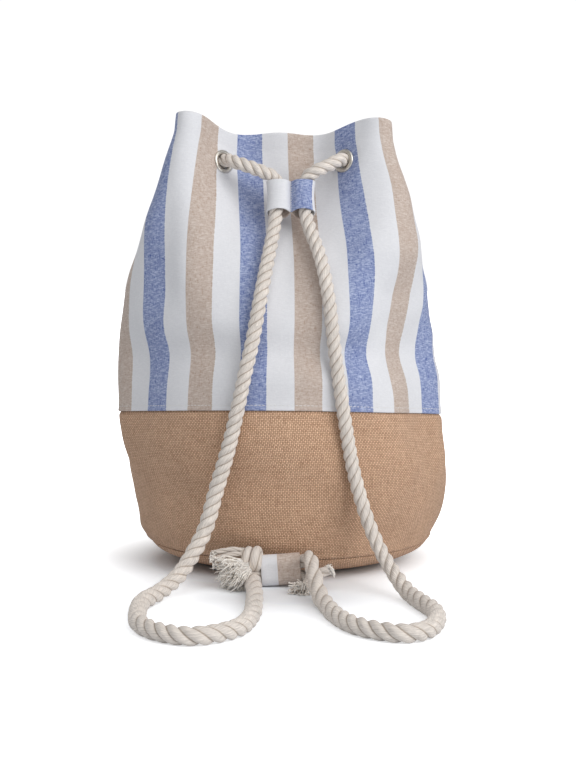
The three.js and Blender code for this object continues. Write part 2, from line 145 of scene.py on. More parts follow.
# Base: outer face from the middle to the rim, then its inner face
BASE_PROFILE = ((0, 0), (75, 0), (94, 2.2), (111, 6.5), (123, 12), (129, 18.4), (127.8, 18.9), (126.5, 18.4))
BASE_INSIDE = ((120.8, 13.3), (109.4, 8.6), (93.5, 4.6), (75, 2.5), (0, 2.5))

# Rope from the left knot through the loop, round the floor on the right and up to the keeper
RIGHT_STRAP = (
    (-16.9, -144.3, 20.2),
    (18.3, -144.6, 20.7),
    (22.4, -149, 25.2),
    (25, -161, 26.2),
    (27.8, -184, 18),
    (31.5, -214, 8.6),
    (36.5, -249, 6.3),
    (43, -284, 6.3),
    (56, -315, 6.3),
    (73, -332, 6.3),
    (91, -340, 6.3),
    (106, -331, 6.3),
    (117, -301, 6.3),
    (118, -266, 6.3),
    (111.5, -240, 6.4),
    (102.3, -202, 8.5),
    (94, -180, 17),
    (83.5, -162, 33),
    (72.6, -150, 58),
    (61.5, -146.3, 97),
    (55.5, -146.8, 131),
    (50.5, -145.6, 165),
    (45, -143.8, 205),
    (41, -141.3, 241),
    (34.5, -128.9, 275),
)

# Rope from the keeper to the first eyelet, and from the last one back to the keeper
RIGHT_TURN = ((33, -97, 352.5), (43.5, -91, 357))
LEFT_TURN = ((-41, -91.5, 360), (-28, -97, 355.5), (-14, -98, 350))

# Rope from the keeper down the left, round the floor and into the loop to the right knot
LEFT_STRAP = (
    (-10.5, -124.4, 275),
    (-17, -141, 241),
    (-23.3, -147.5, 206),
    (-29.3, -150.6, 180),
    (-35.8, -151.8, 149),
    (-43.6, -150.6, 116),
    (-53.5, -151.8, 82),
    (-62.5, -157, 50),
    (-72.5, -166, 31),
    (-82.5, -180, 17),
    (-94.5, -200, 9),
    (-107, -234, 6.4),
    (-108, -272, 6.3),
    (-102.5, -311, 6.3),
    (-86, -336, 6.3),
    (-61, -348, 6.3),
    (-32, -326, 6.3),
    (-21.5, -286, 6.3),
    (-20, -240, 6.3),
    (-20.5, -199, 6.6),
    (-22.8, -165, 7.6),
    (-24.2, -153.2, 7.8),
    (-18.3, -145.1, 8.3),
    (20.9, -144.3, 8.4),
)

# Knots: turns by middle, depth, height, first angle, angle turned, lay, radius and lean; cut strands
# by places, radius and lay; frayed yarns by seed, count, root, spread, aim, fan, length, radius, curl
# and height above the floor; and a core strand under the yarns
KNOTS = {
    "left": {
        "turns": (
            ((-20.8, -148.5, 23.6), 5.4, 5.6, -130, 345, 80, 5.9, 0.5),
            ((-28.2, -147.5, 24.2), 4.6, 5.2, -150, 330, 80, 5.3, 0.7),
        ),
        "strands": (
            (((-28, -146, 30), (-40, -147.5, 31.6), (-54, -150, 29.6)), 2.4, 30),
            (((-28, -149, 28), (-41, -152, 28.4), (-53, -154.5, 25.4)), 2.1, 30),
        ),
        "frayed": (
            (31, 190, (-28.5, -152.5, 19), 5.2, (-1, -0.5, -0.3), 0.62, 25, 0.72, 1.7, 0.8),
            (32, 130, (-27, -154, 17), 4.8, (-0.9, -0.7, -0.36), 0.66, 20, 0.7, 1.9, 0.8),
            (35, 60, (-29, -149, 17), 4.6, (-1, 0.05, -0.35), 0.5, 22, 0.66, 1.6, 0.8),
            (33, 14, (-53, -150, 29.6), 1.6, (-1, -0.1, -0.15), 0.5, 6, 0.5, 1.6, 0.8),
            (34, 14, (-52, -154.5, 25.6), 1.4, (-1, -0.1, -0.4), 0.6, 7, 0.5, 1.8, 0.8),
        ),
        "core": ((((-27, -152, 18.5), (-36, -156, 15.6), (-44, -160, 12.6)), 6.4, 40),),
    },
    "right": {
        "turns": (((27.5, -149, 12), 4.6, 5.2, 0, 330, 60, 4.6, 0.4),),
        "strands": (
            (((22, -151, 7), (29, -157, 12), (35, -160.5, 15.2), (40.5, -161, 17.6)), 4.4, 36),
            (((25, -151, 9), (22, -160, 6), (19.5, -169, 4.4)), 3.7, 32),
        ),
        "frayed": (
            (41, 110, (19.5, -168, 4.2), 3.2, (-0.4, -1, -0.12), 0.7, 15, 0.6, 1.5, 0.7),
            (42, 70, (39.5, -161, 17.2), 3.4, (1, -0.05, 0.42), 0.3, 5.5, 0.55, 1.0, 0.7),
        ),
        "core": (),
    },
}

# Stage in metres: the floor and the places round which its painted glow is held back, so that its shadows
# show there and are washed out elsewhere, the sky as seen and as light, lamps by name, place, size and
# power, what they aim at, and the camera
FLOOR = {
    "half": 9.0, "colour": (0.885, 0.91, 0.945),
    "below_bag": (-0.012, -0.03, 0), "below_loop": (0.006, -0.178, 0),
}
SKY = {"seen": 1.05, "light": 0.32, "colour": (0.98, 0.99, 1)}
LAMPS = (
    ("key", (2.08, -1.98, 1.6), 2.2, 56),
    ("front", (0.2, -1.8, 2.5), 2.6, 28),
    ("back", (-2.1, 1.7, 1.5), 2.4, 18),
)
LAMP_AIM = (0, 0, 0.18)
CAMERA = {"place": (0.0065, -1.5, 0.285), "lens": 75.6, "sensor": 36, "shift": -0.178}


def measure(label, words, default, low, high):
    """Property for one length in metres."""
    return FloatProperty(
        name=label, description=words, default=default, min=low, max=high, unit="LENGTH",
    )


def colour(label, words, default):
    """Property for one linear colour."""
    return FloatVectorProperty(
        name=label, description=words, default=default, size=3, min=0, max=1, subtype="COLOR",
    )


class BackpackSizes(bpy.types.PropertyGroup):
    """Sizes that can be changed without redrawing the bag."""

    rope_diameter: measure("Rope Diameter", "Thickness of the rope over its strands", 0.012, 0.006, 0.02)
    rope_lay: measure("Rope Lay", "Length in which a strand goes once round", 0.026, 0.015, 0.06)
    canvas_thickness: measure("Canvas Thickness", "Thickness of the striped cloth", 0.0015, 0.0005, 0.003)
    jute_thickness: measure("Jute Thickness", "Thickness of the jute wall", 0.0022, 0.001, 0.004)
    stripe_width: measure("Stripe Width", "Width of each woven stripe", 0.02325, 0.005, 0.06)
    canvas_yarn: measure("Canvas Yarn", "Distance between canvas yarns", 0.00085, 0.0003, 0.002)
    jute_yarn: measure("Jute Yarn", "Distance between jute yarns", 0.00138, 0.001, 0.005)
    stitch_length: measure("Stitch Length", "Length of one stitch with its gap", 0.0034, 0.002, 0.008)


class BackpackColours(bpy.types.PropertyGroup):
    """Colours of the cloth, rope and metal."""

    white: colour("White Stripe", "Undyed warp of the white stripes", (0.68, 0.68, 0.705))
    white_weft: colour("White Stripe Weft", "Pale weft over the white warp", (0.775, 0.775, 0.795))
    blue: colour("Blue Stripe", "Dyed warp of the blue stripes", (0.055, 0.1, 0.31))
    blue_weft: colour("Blue Stripe Weft", "Pale weft over the blue warp", (0.62, 0.68, 0.84))
    beige: colour("Beige Stripe", "Flax-coloured warp of the beige stripes", (0.41, 0.3, 0.238))
    beige_weft: colour("Beige Stripe Weft", "Pale weft over the beige warp", (0.715, 0.65, 0.6))
    # Jute and Jute Shade are lit and shaded copies of one yarn colour: the jute material paints the shade in
    # the hollows of the weave and the lit colour on the raised yarn tops
    jute: colour("Jute", "Light side of the jute yarns", (0.96, 0.655, 0.445))
    jute_shade: colour("Jute Shade", "Dark side of the jute yarns", (0.27, 0.125, 0.06))
    rope: colour("Rope", "Natural cotton of the rope", (0.79, 0.72, 0.655))
    # Rope Shade is painted shade: the rope material puts it in the grooves between the strands
    rope_shade: colour("Rope Shade", "Cotton between the strands", (0.46, 0.38, 0.31))
    loose_yarn: colour("Loose Yarn", "Cotton of the frayed ends", (0.98, 0.9, 0.81))
    thread: colour("Thread", "Sewing thread", (0.76, 0.75, 0.745))
    metal: colour("Eyelet Metal", "Aged metal of the eyelets", (0.76, 0.72, 0.65))


def smooth(places, values, at):
    """Values on a smooth curve through the rows of a table."""
    x = np.asarray(places, float)
    y = np.asarray(values, float)
    rows = np.arange(len(x))
    before = np.maximum(rows - 1, 0)
    after = np.minimum(rows + 1, len(x) - 1)
    slope = (y[after] - y[before]) / (x[after] - x[before])
    i = np.clip(np.searchsorted(x, at) - 1, 0, len(x) - 2)
    span = x[i + 1] - x[i]
    f = (at - x[i]) / span
    rise = (1 - f) ** 2 * f * slope[i] + (f - 1) * f**2 * slope[i + 1]
    return y[i] + (y[i + 1] - y[i]) * f * f * (3 - 2 * f) + span * rise


def eased(value, low, high):
    """Share from 0 below low to 1 above high, on a smooth curve."""
    f = np.clip((value - low) / (high - low), 0, 1)
    return f * f * (3 - 2 * f)


def angles(count):
    """Equal steps round a circle."""
    return 2 * math.pi * np.arange(count) / count


def unit(vectors):
    """Vectors of length one along the last axis."""
    return vectors / np.maximum(np.linalg.norm(vectors, axis=-1, keepdims=True), 1e-9)


def seam_height(angle):
    """Height of the seam between canvas and jute, which leans up at the front."""
    facing = np.cos(angle)
    rise = SEAM["front"] * facing + SEAM["bow"] * facing**2
    return SEAM["height"] + rise - SEAM["left"] * np.sin(angle)


def drawn_in(up, angle):
    """Share by which the buckle draws the canvas in and the bulge on the left lets it out."""
    buckle = np.exp(-(((up - BUCKLE["up"]) / BUCKLE["width"]) ** 2))
    bulge = np.exp(-(((up - BULGE["up"]) / BULGE["width"]) ** 2))
    depth = BUCKLE["ring"] + BUCKLE["right"] * np.sin(angle) + BUCKLE["front"] * np.cos(angle)
    swell = BULGE["left"] * np.maximum(0, -np.sin(angle)) ** 2
    return (depth * buckle - swell * bulge) * 2 * math.pi / CANVAS_ROUND


def crease_turn(around, up):
    """Turn that the creases add to the direction of the canvas."""
    total = np.zeros_like(around)
    for place, width, turn, begins, full, fades, gone in CANVAS_CREASES:
        share = eased(up, begins, full) * (1 - eased(up, fades, gone))
        total += turn * share * np.exp(-((round_from(around, place) / width) ** 2))
    return total


def canvas_walk(heading):
    """Closed line walked in equal strides whose directions are given."""
    stride = np.stack([np.cos(heading), np.sin(heading)], 1) * CANVAS_ROUND / len(heading)
    stride = stride - stride.mean(0)
    return (np.cumsum(stride, 0) - stride[0])[::CANVAS_SUBSTEPS]


def canvas_level(up, columns):
    """One level round the canvas, whose direction swings in and out of the folds and creases."""
    tables = (CANVAS_FOLD, CANVAS_FLOOR, CANVAS_RIDGE, CANVAS_FLANK, CANVAS_SLIDE, CANVAS_LEAD)
    *waves, slide, lead = (float(smooth(CANVAS_UP, values, up)) for values in tables)
    steps = columns * CANVAS_SUBSTEPS
    around = (np.arange(steps) + 0.5) / steps * CANVAS_ROUND
    turn = 2 * math.pi * (around - slide) / CANVAS_ROUND
    phase = FOLDS * turn + lead * np.sin(turn)
    heading = turn - sum(wave * np.sin((k + 1) * phase) for k, wave in enumerate(waves))
    middle = canvas_walk(heading).mean(0)
    points = canvas_walk(heading + crease_turn(around, up))
    angle = angles(columns)
    share = 1 - drawn_in(up, angle)
    shift = CANVAS_SHIFT + CANVAS_LEAN * (up / CANVAS_TALL) ** 2
    return (points - middle) * share[:, None] + (shift, 0)


def round_from(around, place):
    """Shortest way round the cloth from a place on it, to the right or to the left."""
    return (around - place + CANVAS_ROUND / 2) % CANVAS_ROUND - CANVAS_ROUND / 2


def canvas_sheet(ups, columns):
    """Outside of the canvas, each thread as long as it was cut, so that the folds sink at the rim."""
    flat = np.stack([canvas_level(up, columns) for up in ups])
    beside = flat[..., 0] - flat[..., 0].max(axis=1, keepdims=True)
    flat[..., 0] += eased(beside, -45, -3) * smooth(CANVAS_RIGHT_UP, CANVAS_RIGHT, ups)[:, None]
    back = eased(flat[..., 1], CANVAS_BACK["from"], CANVAS_BACK["to"])
    back *= eased(np.asarray(ups), CANVAS_BACK["low"], CANVAS_BACK["high"])[:, None]
    flat[..., 1] -= back * (CANVAS_BACK["forward"] + CANVAS_BACK["more"] * flat[..., 0])
    step = np.diff(ups)[:, None]
    across = np.linalg.norm(np.diff(flat, axis=0), axis=2)
    climb = np.sqrt(np.maximum(step**2 - across**2, 0))
    climb = np.maximum(climb, CANVAS_LEAST_CLIMB * step)
    around = CANVAS_ROUND * np.arange(columns) / columns
    slump = np.zeros((len(ups), columns))
    for low in SLUMPS:
        near = np.exp(-((round_from(around, low["around"]) / low["width"]) ** 2))
        slump += low["depth"] * near * (np.asarray(ups)[:, None] / CANVAS_TALL) ** 3
    seam = seam_height(2 * math.pi * around / CANVAS_ROUND) + GAP / 2
    height = seam + np.vstack([np.zeros(columns), np.cumsum(climb, 0)]) - slump
    return np.dstack([flat, height])


def sheet_point(sheet, ups, around, up):
    """Point of a sheet by its place round the cloth and up the cloth."""
    columns = sheet.shape[1]
    place = around / CANVAS_ROUND * columns
    column = int(math.floor(place))
    row = int(np.clip(np.searchsorted(ups, up) - 1, 0, len(ups) - 2))
    f = place - column
    g = (up - ups[row]) / (ups[row + 1] - ups[row])
    low = sheet[row, column % columns] * (1 - f) + sheet[row, (column + 1) % columns] * f
    high = sheet[row + 1, column % columns] * (1 - f) + sheet[row + 1, (column + 1) % columns] * f
    return low * (1 - g) + high * g


def eyelet_seats():
    """Middle and outward direction of each eyelet on the outside of the canvas."""
    ups = np.arange(0, CANVAS_TALL + 1, 5.0)
    sheet = canvas_sheet(ups, CANVAS_COLUMNS)
    spacing = CANVAS_ROUND / EYELET["count"]
    seats = []
    for i in range(EYELET["count"]):
        around = CANVAS_SLID + (i + 0.5) * spacing
        corners = [
            sheet_point(sheet, ups, around + across, EYELET["up"] + along)
            for along in (-EYELET["reach"], EYELET["reach"])
            for across in (-EYELET["hole"], EYELET["hole"])
        ]
        out = unit(np.cross(corners[3] - corners[0], corners[2] - corners[1]))
        seats.append({"around": around, "middle": sum(corners) / 4, "out": out})
    return seats


def ripple(around, up, seed, count, waves_round, wave_up, strength):
    """Soft unevenness of cloth: a sum of waves that meet where the cloth is joined."""
    draw = random.Random(seed)
    total = np.zeros(np.broadcast(around, up).shape)
    for _ in range(count):
        turns = draw.randint(*waves_round) * draw.choice((-1, 1))
        rise = 2 * math.pi / draw.uniform(*wave_up)
        start = draw.uniform(0, 2 * math.pi)
        total = total + np.sin(2 * math.pi * turns * around / CANVAS_ROUND + rise * up + start)
    return total * strength / math.sqrt(count)


def outward(sheet):
    """Outward direction at each point of a sheet that runs round the bag."""
    along = np.roll(sheet, -1, 1) - np.roll(sheet, 1, 1)
    climb = np.gradient(sheet, axis=0)
    return unit(np.cross(along, climb))


def catmull_rom(points, per_span):
    """Points on a smooth curve that doesn't loop or overshoot, through given points."""
    knots = np.asarray(points, float)
    knots = np.vstack([2 * knots[0] - knots[1], knots, 2 * knots[-1] - knots[-2]])
    times = np.concatenate([[0], np.cumsum(np.sqrt(np.linalg.norm(np.diff(knots, axis=0), axis=1)))])
    line = []
    for i in range(1, len(knots) - 2):
        t = np.linspace(times[i], times[i + 1], per_span, endpoint=False)[:, None]

        def between(a, b, low, high):
            return (high - t) / (high - low) * a + (t - low) / (high - low) * b

        first = between(knots[i - 1], knots[i], times[i - 1], times[i])
        second = between(knots[i], knots[i + 1], times[i], times[i + 1])
        third = between(knots[i + 1], knots[i + 2], times[i + 1], times[i + 2])
        early = between(first, second, times[i - 1], times[i + 1])
        late = between(second, third, times[i], times[i + 2])
        line.append(between(early, late, times[i], times[i + 1]))
    return np.vstack(line + [knots[-2:-1]])


def run_along(line):
    """Distance along a line at each of its points."""
    return np.concatenate([[0], np.cumsum(np.linalg.norm(np.diff(line, axis=0), axis=1))])


def closed_run(ring):
    """Distance along a ring at each of its points, and back to the first."""
    return run_along(np.vstack([ring, ring[:1]]))


def at_places(places, run, line):
    """Points of a line at given distances along it."""
    return np.stack([np.interp(places, run, values) for values in line.T], 1)


def evenly(line, spacing):
    """A line resampled at equal steps."""
    run = run_along(line)
    return at_places(np.linspace(0, run[-1], max(2, round(run[-1] / spacing) + 1)), run, line)


def softened(line, rounds):
    """A line whose sharp turns are eased, with its ends kept."""
    for _ in range(rounds):
        line = np.vstack([line[:1], line[1:-1] / 2 + (line[:-2] + line[2:]) / 4, line[-1:]])
    return line


def keeper_place(x, y, z):
    """Point of the leaning keeper, from its own width, depth and height."""
    lean = math.radians(KEEPER["lean"])
    return np.stack(
        [
            KEEPER["x"] + x,
            KEEPER["y"] + y * math.cos(lean) + z * math.sin(lean),
            KEEPER["z"] - y * math.sin(lean) + z * math.cos(lean),
        ],
        -1,
    )


def keeper_run(side):
    """Rope's straight run through one channel of the keeper, from below to above."""
    reach = KEEPER["tall"] / 2 + KEEPER["beyond"]
    return [
        keeper_place(np.float64(side * CHANNEL["rope"]), np.float64(0), np.float64(along))
        for along in (-reach, 0, reach)
    ]


def threaded_rope(seats):
    """Rope through all the eyelets: straight inside each fold, bowed outside between folds."""
    points = []
    for i, seat in enumerate(seats):
        outside = seat["middle"] + seat["out"] * (ROPE_REACH - 1)
        inside = seat["middle"] - seat["out"] * (ROPE_REACH + 1)
        leaves = i % 2 == 1
        points += [inside, outside] if leaves else [outside, inside]
        if leaves and i + 1 < len(seats):
            following = seats[i + 1]
            landing = following["middle"] + following["out"] * (ROPE_REACH - 1)
            pull = np.linalg.norm(outside - landing) * ROPE_BOW
            first = outside + unit(seat["out"] * (1, 1, 0)) * pull
            second = landing + unit(following["out"] * (1, 1, 0)) * pull
            for t in (0.25, 0.5, 0.75):
                near = (1 - t) ** 3 * outside + 3 * (1 - t) ** 2 * t * first
                points.append(near + 3 * (1 - t) * t**2 * second + t**3 * landing)
    return points


def rope_route():
    """Middle line of the rope from the left knot to the right knot."""
    points = [
        *RIGHT_STRAP,
        *keeper_run(1),
        *RIGHT_TURN,
        *threaded_rope(eyelet_seats()),
        *LEFT_TURN,
        *keeper_run(-1)[::-1],
        *LEFT_STRAP,
    ]
    line = evenly(catmull_rom(points, 24), ROPE_STEP)
    return evenly(softened(line, ROPE_SOFTENED), ROPE_STEP)


def closed_faces(rows, columns, close_rows=True):
    """Corners of a grid that closes round its columns, and often round its rows too."""
    r, c = np.meshgrid(np.arange(rows if close_rows else rows - 1), np.arange(columns), indexing="ij")
    corners = [(r, c), (r, c + 1), (r + 1, c + 1), (r + 1, c)]
    index = np.stack([(a % rows) * columns + b % columns for a, b in corners], -1)
    spots = np.stack([np.stack([a % rows, b], -1) for a, b in corners], -2)
    return index.reshape(-1, 4), spots.reshape(-1, 4, 2)


def shell(sheet, normals, thickness):
    """Rows of a closed cloth: its outside, a rolled top edge, its inside and a rolled bottom edge."""
    thick = np.broadcast_to(np.asarray(thickness, float).reshape(-1, 1, 1), (len(sheet), 1, 1))
    inside = sheet - normals * thick
    upward = unit(np.gradient(sheet, axis=0))
    rolled = np.radians(ROLLED)[:, None, None]

    def edge(outer, inner, away):
        middle = (outer + inner) / 2
        half = np.linalg.norm(outer - inner, axis=-1, keepdims=True) / 2
        return middle + (outer - middle) * np.cos(rolled) + away * half * np.sin(rolled)

    top = edge(sheet[-1], inside[-1], upward[-1])
    bottom = edge(sheet[0], inside[0], -upward[0])
    return np.concatenate([sheet, top, inside[::-1], bottom[::-1]])


def shell_values(values, beyond=0.0):
    """Values on the rows of a shell, from those on the rows of its sheet."""
    top, bottom = [values[-1] + beyond] * EDGE_ROWS, [values[0] - beyond] * EDGE_ROWS
    return np.concatenate([values, top, values[::-1], bottom])


def stripe_place(count):
    """Place round the cloth, a number of stripes on from the middle of the first beige one."""
    return FIRST_BEIGE + count * bpy.context.scene.backpack_sizes.stripe_width / MM


def make_piece(name, shape, material):
    """A smooth mesh of given points, faces and cloth coordinates, with its material, on its body."""
    points, faces, uv = shape
    used, index = np.unique(np.concatenate([np.ravel(f) for f in faces]), return_inverse=True)
    mesh = bpy.data.meshes.new(name)
    sizes = [len(f) for f in faces]
    ends = np.cumsum(sizes)
    corners = [index[end - size : end].tolist() for size, end in zip(sizes, ends)]
    mesh.from_pydata((np.asarray(points)[used] * MM).tolist(), [], corners)
    if uv is not None:
        layer = mesh.uv_layers.new(name="cloth")
        layer.data.foreach_set("uv", np.asarray(uv, np.float32).ravel())
    mesh.shade_smooth()
    mesh.materials.append(material)
    piece = bpy.data.objects.new(name, mesh)
    bpy.context.scene.collection.objects.link(piece)
    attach(piece, "root")
    return piece


def frames_along(line):
    """Two cross directions along a line, turned no more than it turns."""
    ahead = unit(np.gradient(line, axis=0))
    side = np.zeros_like(line)
    start = np.array((0, 0, 1.0)) if abs(ahead[0][2]) < 0.9 else np.array((1.0, 0, 0))
    side[0] = unit(np.cross(ahead[0], start))
    for i in range(1, len(line)):
        held = side[i - 1] - ahead[i] * (side[i - 1] @ ahead[i])
        side[i] = unit(held)
    return side, np.cross(ahead, side)


def tube(rings, place, foot, head, tips=()):
    """Points, faces and coordinates of rings joined in a row, closed flat or by fans to two tips."""
    count, sides = rings.shape[:2]
    index, spots = closed_faces(count, sides, close_rows=False)
    points = np.vstack([rings.reshape(-1, 3), *tips])
    faces = [tuple(f) for f in index]
    corners = [tuple(place(*spot) for spot in f) for f in spots]
    last = (count - 1) * sides
    if not tips:
        faces += [tuple(last + k for k in range(sides)), tuple(range(sides))[::-1]]
        corners += [(head,) * sides, (foot,) * sides]
        return points, faces, corners
    for k in range(sides):
        n = (k + 1) % sides
        faces += [(n, k, len(points) - 2), (last + k, last + n, len(points) - 1)]
        corners += [(place(0, n), place(0, k), foot), (place(-1, k), place(-1, n), head)]
    return points, faces, corners


def strand_outline(angle, middle=0.38):
    """Share of the rope's radius round its section: three round strands with narrow grooves."""
    away = (angle + math.pi / 3) % (2 * math.pi / 3) - math.pi / 3
    return middle * np.cos(away) + np.sqrt((1 - middle) ** 2 - (middle * np.sin(away)) ** 2)


def twisted_rope(line, radius, lay, around=48):
    """Points, faces and coordinates of a three-strand rope along a line, with one radius and lay or many."""
    side, over = frames_along(line)
    run = run_along(line)
    angle = angles(around)
    outline = strand_outline(angle)[None, :] * np.broadcast_to(radius, len(line))[:, None]
    twist = np.cumsum(np.gradient(run) / np.broadcast_to(lay, len(line)))
    turned = angle[None, :] + 2 * math.pi * twist[:, None]
    across = np.cos(turned)[..., None] * side[:, None] + np.sin(turned)[..., None] * over[:, None]
    rings = line[:, None] + across * outline[..., None]

    def place(row, column):
        return column / around, run[row] * MM

    return tube(rings, place, (0.5, 0), (0.5, run[-1] * MM), (line[0], line[-1]))


def joined(parts):
    """Several sets of points, faces and coordinates as one."""
    points, faces, uv = [], [], []
    start = 0
    for more, index, corners in parts:
        points.append(np.asarray(more))
        faces += [tuple(i + start for i in f) for f in index]
        uv += [c for f in corners for c in f]
        start += len(more)
    return np.vstack(points), faces, uv


def yarn(line, radius, sides, tone):
    """Points, faces and coordinates of one thin yarn that narrows to its end."""
    side, over = frames_along(line)
    share = np.linspace(0, 1, len(line))
    narrow = radius * np.sqrt(np.clip(1.02 - share**6, 0.02, 1))
    angle = angles(sides)
    across = np.cos(angle)[None, :, None] * side[:, None] + np.sin(angle)[None, :, None] * over[:, None]
    rings = line[:, None] + across * narrow[:, None, None]

    def place(row, column):
        return tone + column / sides * 0.04, row / len(line) * 0.03

    return tube(rings, place, (tone, 0), (tone, 0.03))


def frayed(seed, count, root, spread, aim, fan, length, radius, curl, floor):
    """Loose yarns that fan out from a cut rope end."""
    draw = random.Random(seed)
    aim = unit(np.asarray(aim, float))
    side = unit(np.cross(aim, (0, 0, 1.0)))
    over = np.cross(side, aim)
    parts = []
    for _ in range(count):
        turn, far = draw.uniform(0, 2 * math.pi), math.sqrt(draw.random())
        away = math.cos(turn) * side + math.sin(turn) * over
        start = np.asarray(root) + away * far * spread
        way = unit(aim + away * far * fan * draw.uniform(0.7, 1.25))
        reach = length * draw.uniform(0.72, 1.1)
        t = np.linspace(0, 1, 11)[:, None]
        wave = draw.uniform(1.2, 2.6)
        phase = draw.uniform(0, 2 * math.pi)
        bend = curl * draw.uniform(0.4, 1.3)
        sway = np.sin(2 * math.pi * wave * t + phase) - math.sin(phase)
        roll = np.cos(2 * math.pi * wave * t * 0.8 + phase) - math.cos(phase)
        cross = unit(np.cross(way, away) + 1e-6)
        line = start + way * reach * t + (cross * sway + away * roll) * bend * t
        line[:, 2] = line[:, 2] - 2.5 * t[:, 0] ** 2
        line[:, 2] = np.maximum(line[:, 2], floor)
        parts.append(yarn(line, radius * draw.uniform(0.75, 1.2), 5, draw.random()))
    return parts


def stitches(spots, aims, outs, length, radius):
    """Small rounded stitches at given spots, each half sunk in the cloth."""
    sides, share = 6, np.array((-1, -0.8, -0.3, 0.3, 0.8, 1))
    narrow = radius * np.sqrt(np.clip(1.03 - share**4, 0.03, 1))
    angle = angles(sides)
    parts = []

    def place(row, column):
        return column / sides * 0.002, row * 0.0005

    for spot, aim, out in zip(spots, aims, outs):
        over = unit(np.cross(aim, out))
        across = np.cos(angle)[None, :, None] * out + np.sin(angle)[None, :, None] * over
        sink = (1 - share**2)[:, None] * radius * 0.5
        line = spot + aim * share[:, None] * length / 2 + out * sink
        rings = line[:, None] + across * narrow[:, None, None]
        parts.append(tube(rings, place, (0, 0), (0, 0)))
    return parts


def add(tree, kind, inputs=None, **settings):
    """A shader node with its settings, and its inputs set or linked."""
    made = tree.nodes.new(kind)
    for key, value in settings.items():
        setattr(made, key, value)
    for key, value in (inputs or {}).items():
        if isinstance(value, bpy.types.NodeSocket):
            tree.links.new(value, made.inputs[key])
        else:
            made.inputs[key].default_value = value
    return made


def calc(tree, operation, *values):
    """Result of one step of arithmetic."""
    return add(tree, "ShaderNodeMath", dict(enumerate(values)), operation=operation).outputs[0]


def blended(tree, share, first, second, blend="MIX"):
    """Colour between two colours."""
    node = add(tree, "ShaderNodeMix", {0: share, 6: first, 7: second}, data_type="RGBA", blend_type=blend)
    return node.outputs[2]


def ranged(tree, value, low, high, to_low=0.0, to_high=1.0):
    """Value moved from one range to another, held at its ends."""
    inputs = {"Value": value, "From Min": low, "From Max": high, "To Min": to_low, "To Max": to_high}
    return add(tree, "ShaderNodeMapRange", inputs, clamp=True).outputs[0]


def tint(value):
    """Colour with full opacity."""
    return (*value, 1.0)


def new_group(name, inputs, outputs):
    """A shader node group with named sockets."""
    group = bpy.data.node_groups.new(name, "ShaderNodeTree")
    for label, default in inputs:
        socket = group.interface.new_socket(label, in_out="INPUT", socket_type="NodeSocketFloat")
        socket.default_value = default
    for label in outputs:
        group.interface.new_socket(label, in_out="OUTPUT", socket_type="NodeSocketFloat")
    return group, group.nodes.new("NodeGroupInput").outputs, group.nodes.new("NodeGroupOutput").inputs


def plain_weave_group():
    """Over and under of crossing yarns, with the height of the one on top."""
    group, given, out = new_group(
        "Plain Weave",
        (("U", 0), ("V", 0), ("Pitch U", 0.002), ("Pitch V", 0.002)),
        ("Height", "Warp On Top"),
    )
    shares = [calc(group, "DIVIDE", given[k], given[f"Pitch {k}"]) for k in "UV"]
    waves = [calc(group, "MULTIPLY", share, math.pi) for share in shares]
    warp, weft = (calc(group, "SINE", wave) for wave in waves)
    warp_lift = calc(group, "MULTIPLY", weft, calc(group, "SIGN", warp))
    weft_lift = calc(group, "MULTIPLY", warp, calc(group, "SIGN", weft))
    rise = calc(group, "MULTIPLY_ADD", warp_lift, 0.5, 0.5)
    fall = calc(group, "MULTIPLY_ADD", weft_lift, -0.5, 0.5)
    warp_height = calc(group, "MULTIPLY", calc(group, "ABSOLUTE", warp), rise)
    weft_height = calc(group, "MULTIPLY", calc(group, "ABSOLUTE", weft), fall)
    group.links.new(calc(group, "MAXIMUM", warp_height, weft_height), out["Height"])
    group.links.new(calc(group, "GREATER_THAN", warp_height, weft_height), out["Warp On Top"])
    return group


def yarn_slub_group():
    """Uneven thickness along each yarn, one value for those that run round and one for those that rise."""
    group, given, out = new_group(
        "Yarn Slubs", (("U", 0), ("V", 0), ("Pitch", 0.001), ("Length", 0.006)), ("Weft", "Warp")
    )
    for along, across, label in (("U", "V", "Weft"), ("V", "U", "Warp")):
        row = calc(group, "FLOOR", calc(group, "DIVIDE", given[across], given["Pitch"]))
        place = calc(group, "DIVIDE", given[along], given["Length"])
        spot = add(group, "ShaderNodeCombineXYZ", {0: place, 1: calc(group, "MULTIPLY", row, 7.31)})
        noise = add(group, "ShaderNodeTexNoise", {"Vector": spot.outputs[0], "Scale": 1, "Detail": 2})
        group.links.new(ranged(group, noise.outputs[0], 0.25, 0.75), out[label])
    return group


def soiling_group():
    """Slow change of tone over a surface, as handling and light leave it."""
    group, given, out = new_group("Soft Soiling", (("Scale", 20),), ("Tone",))
    place = add(group, "ShaderNodeTexCoord").outputs["Object"]
    noise = add(group, "ShaderNodeTexNoise", {"Vector": place, "Scale": given["Scale"], "Detail": 3})
    group.links.new(ranged(group, noise.outputs[0], 0.3, 0.7), out["Tone"])
    return group


def fibre_group():
    """Fine fibres that follow a yarn, for cotton rope, loose yarn and thread."""
    group, given, out = new_group(
        "Cotton Fibres", (("U", 0), ("V", 0), ("Lines", 24), ("Length", 0.004)), ("Height", "Tone")
    )
    across = calc(group, "MULTIPLY", given["U"], given["Lines"])
    along = calc(group, "DIVIDE", given["V"], given["Length"])
    spot = add(group, "ShaderNodeCombineXYZ", {0: across, 1: along})
    streak = add(group, "ShaderNodeTexNoise", {"Vector": spot.outputs[0], "Scale": 1.6, "Detail": 3})
    line = calc(group, "SINE", calc(group, "MULTIPLY", across, 2 * math.pi))
    mixed = calc(group, "MULTIPLY_ADD", line, 0.12, streak.outputs[0])
    group.links.new(mixed, out["Height"])
    group.links.new(ranged(group, streak.outputs[0], 0.3, 0.7), out["Tone"])
    return group


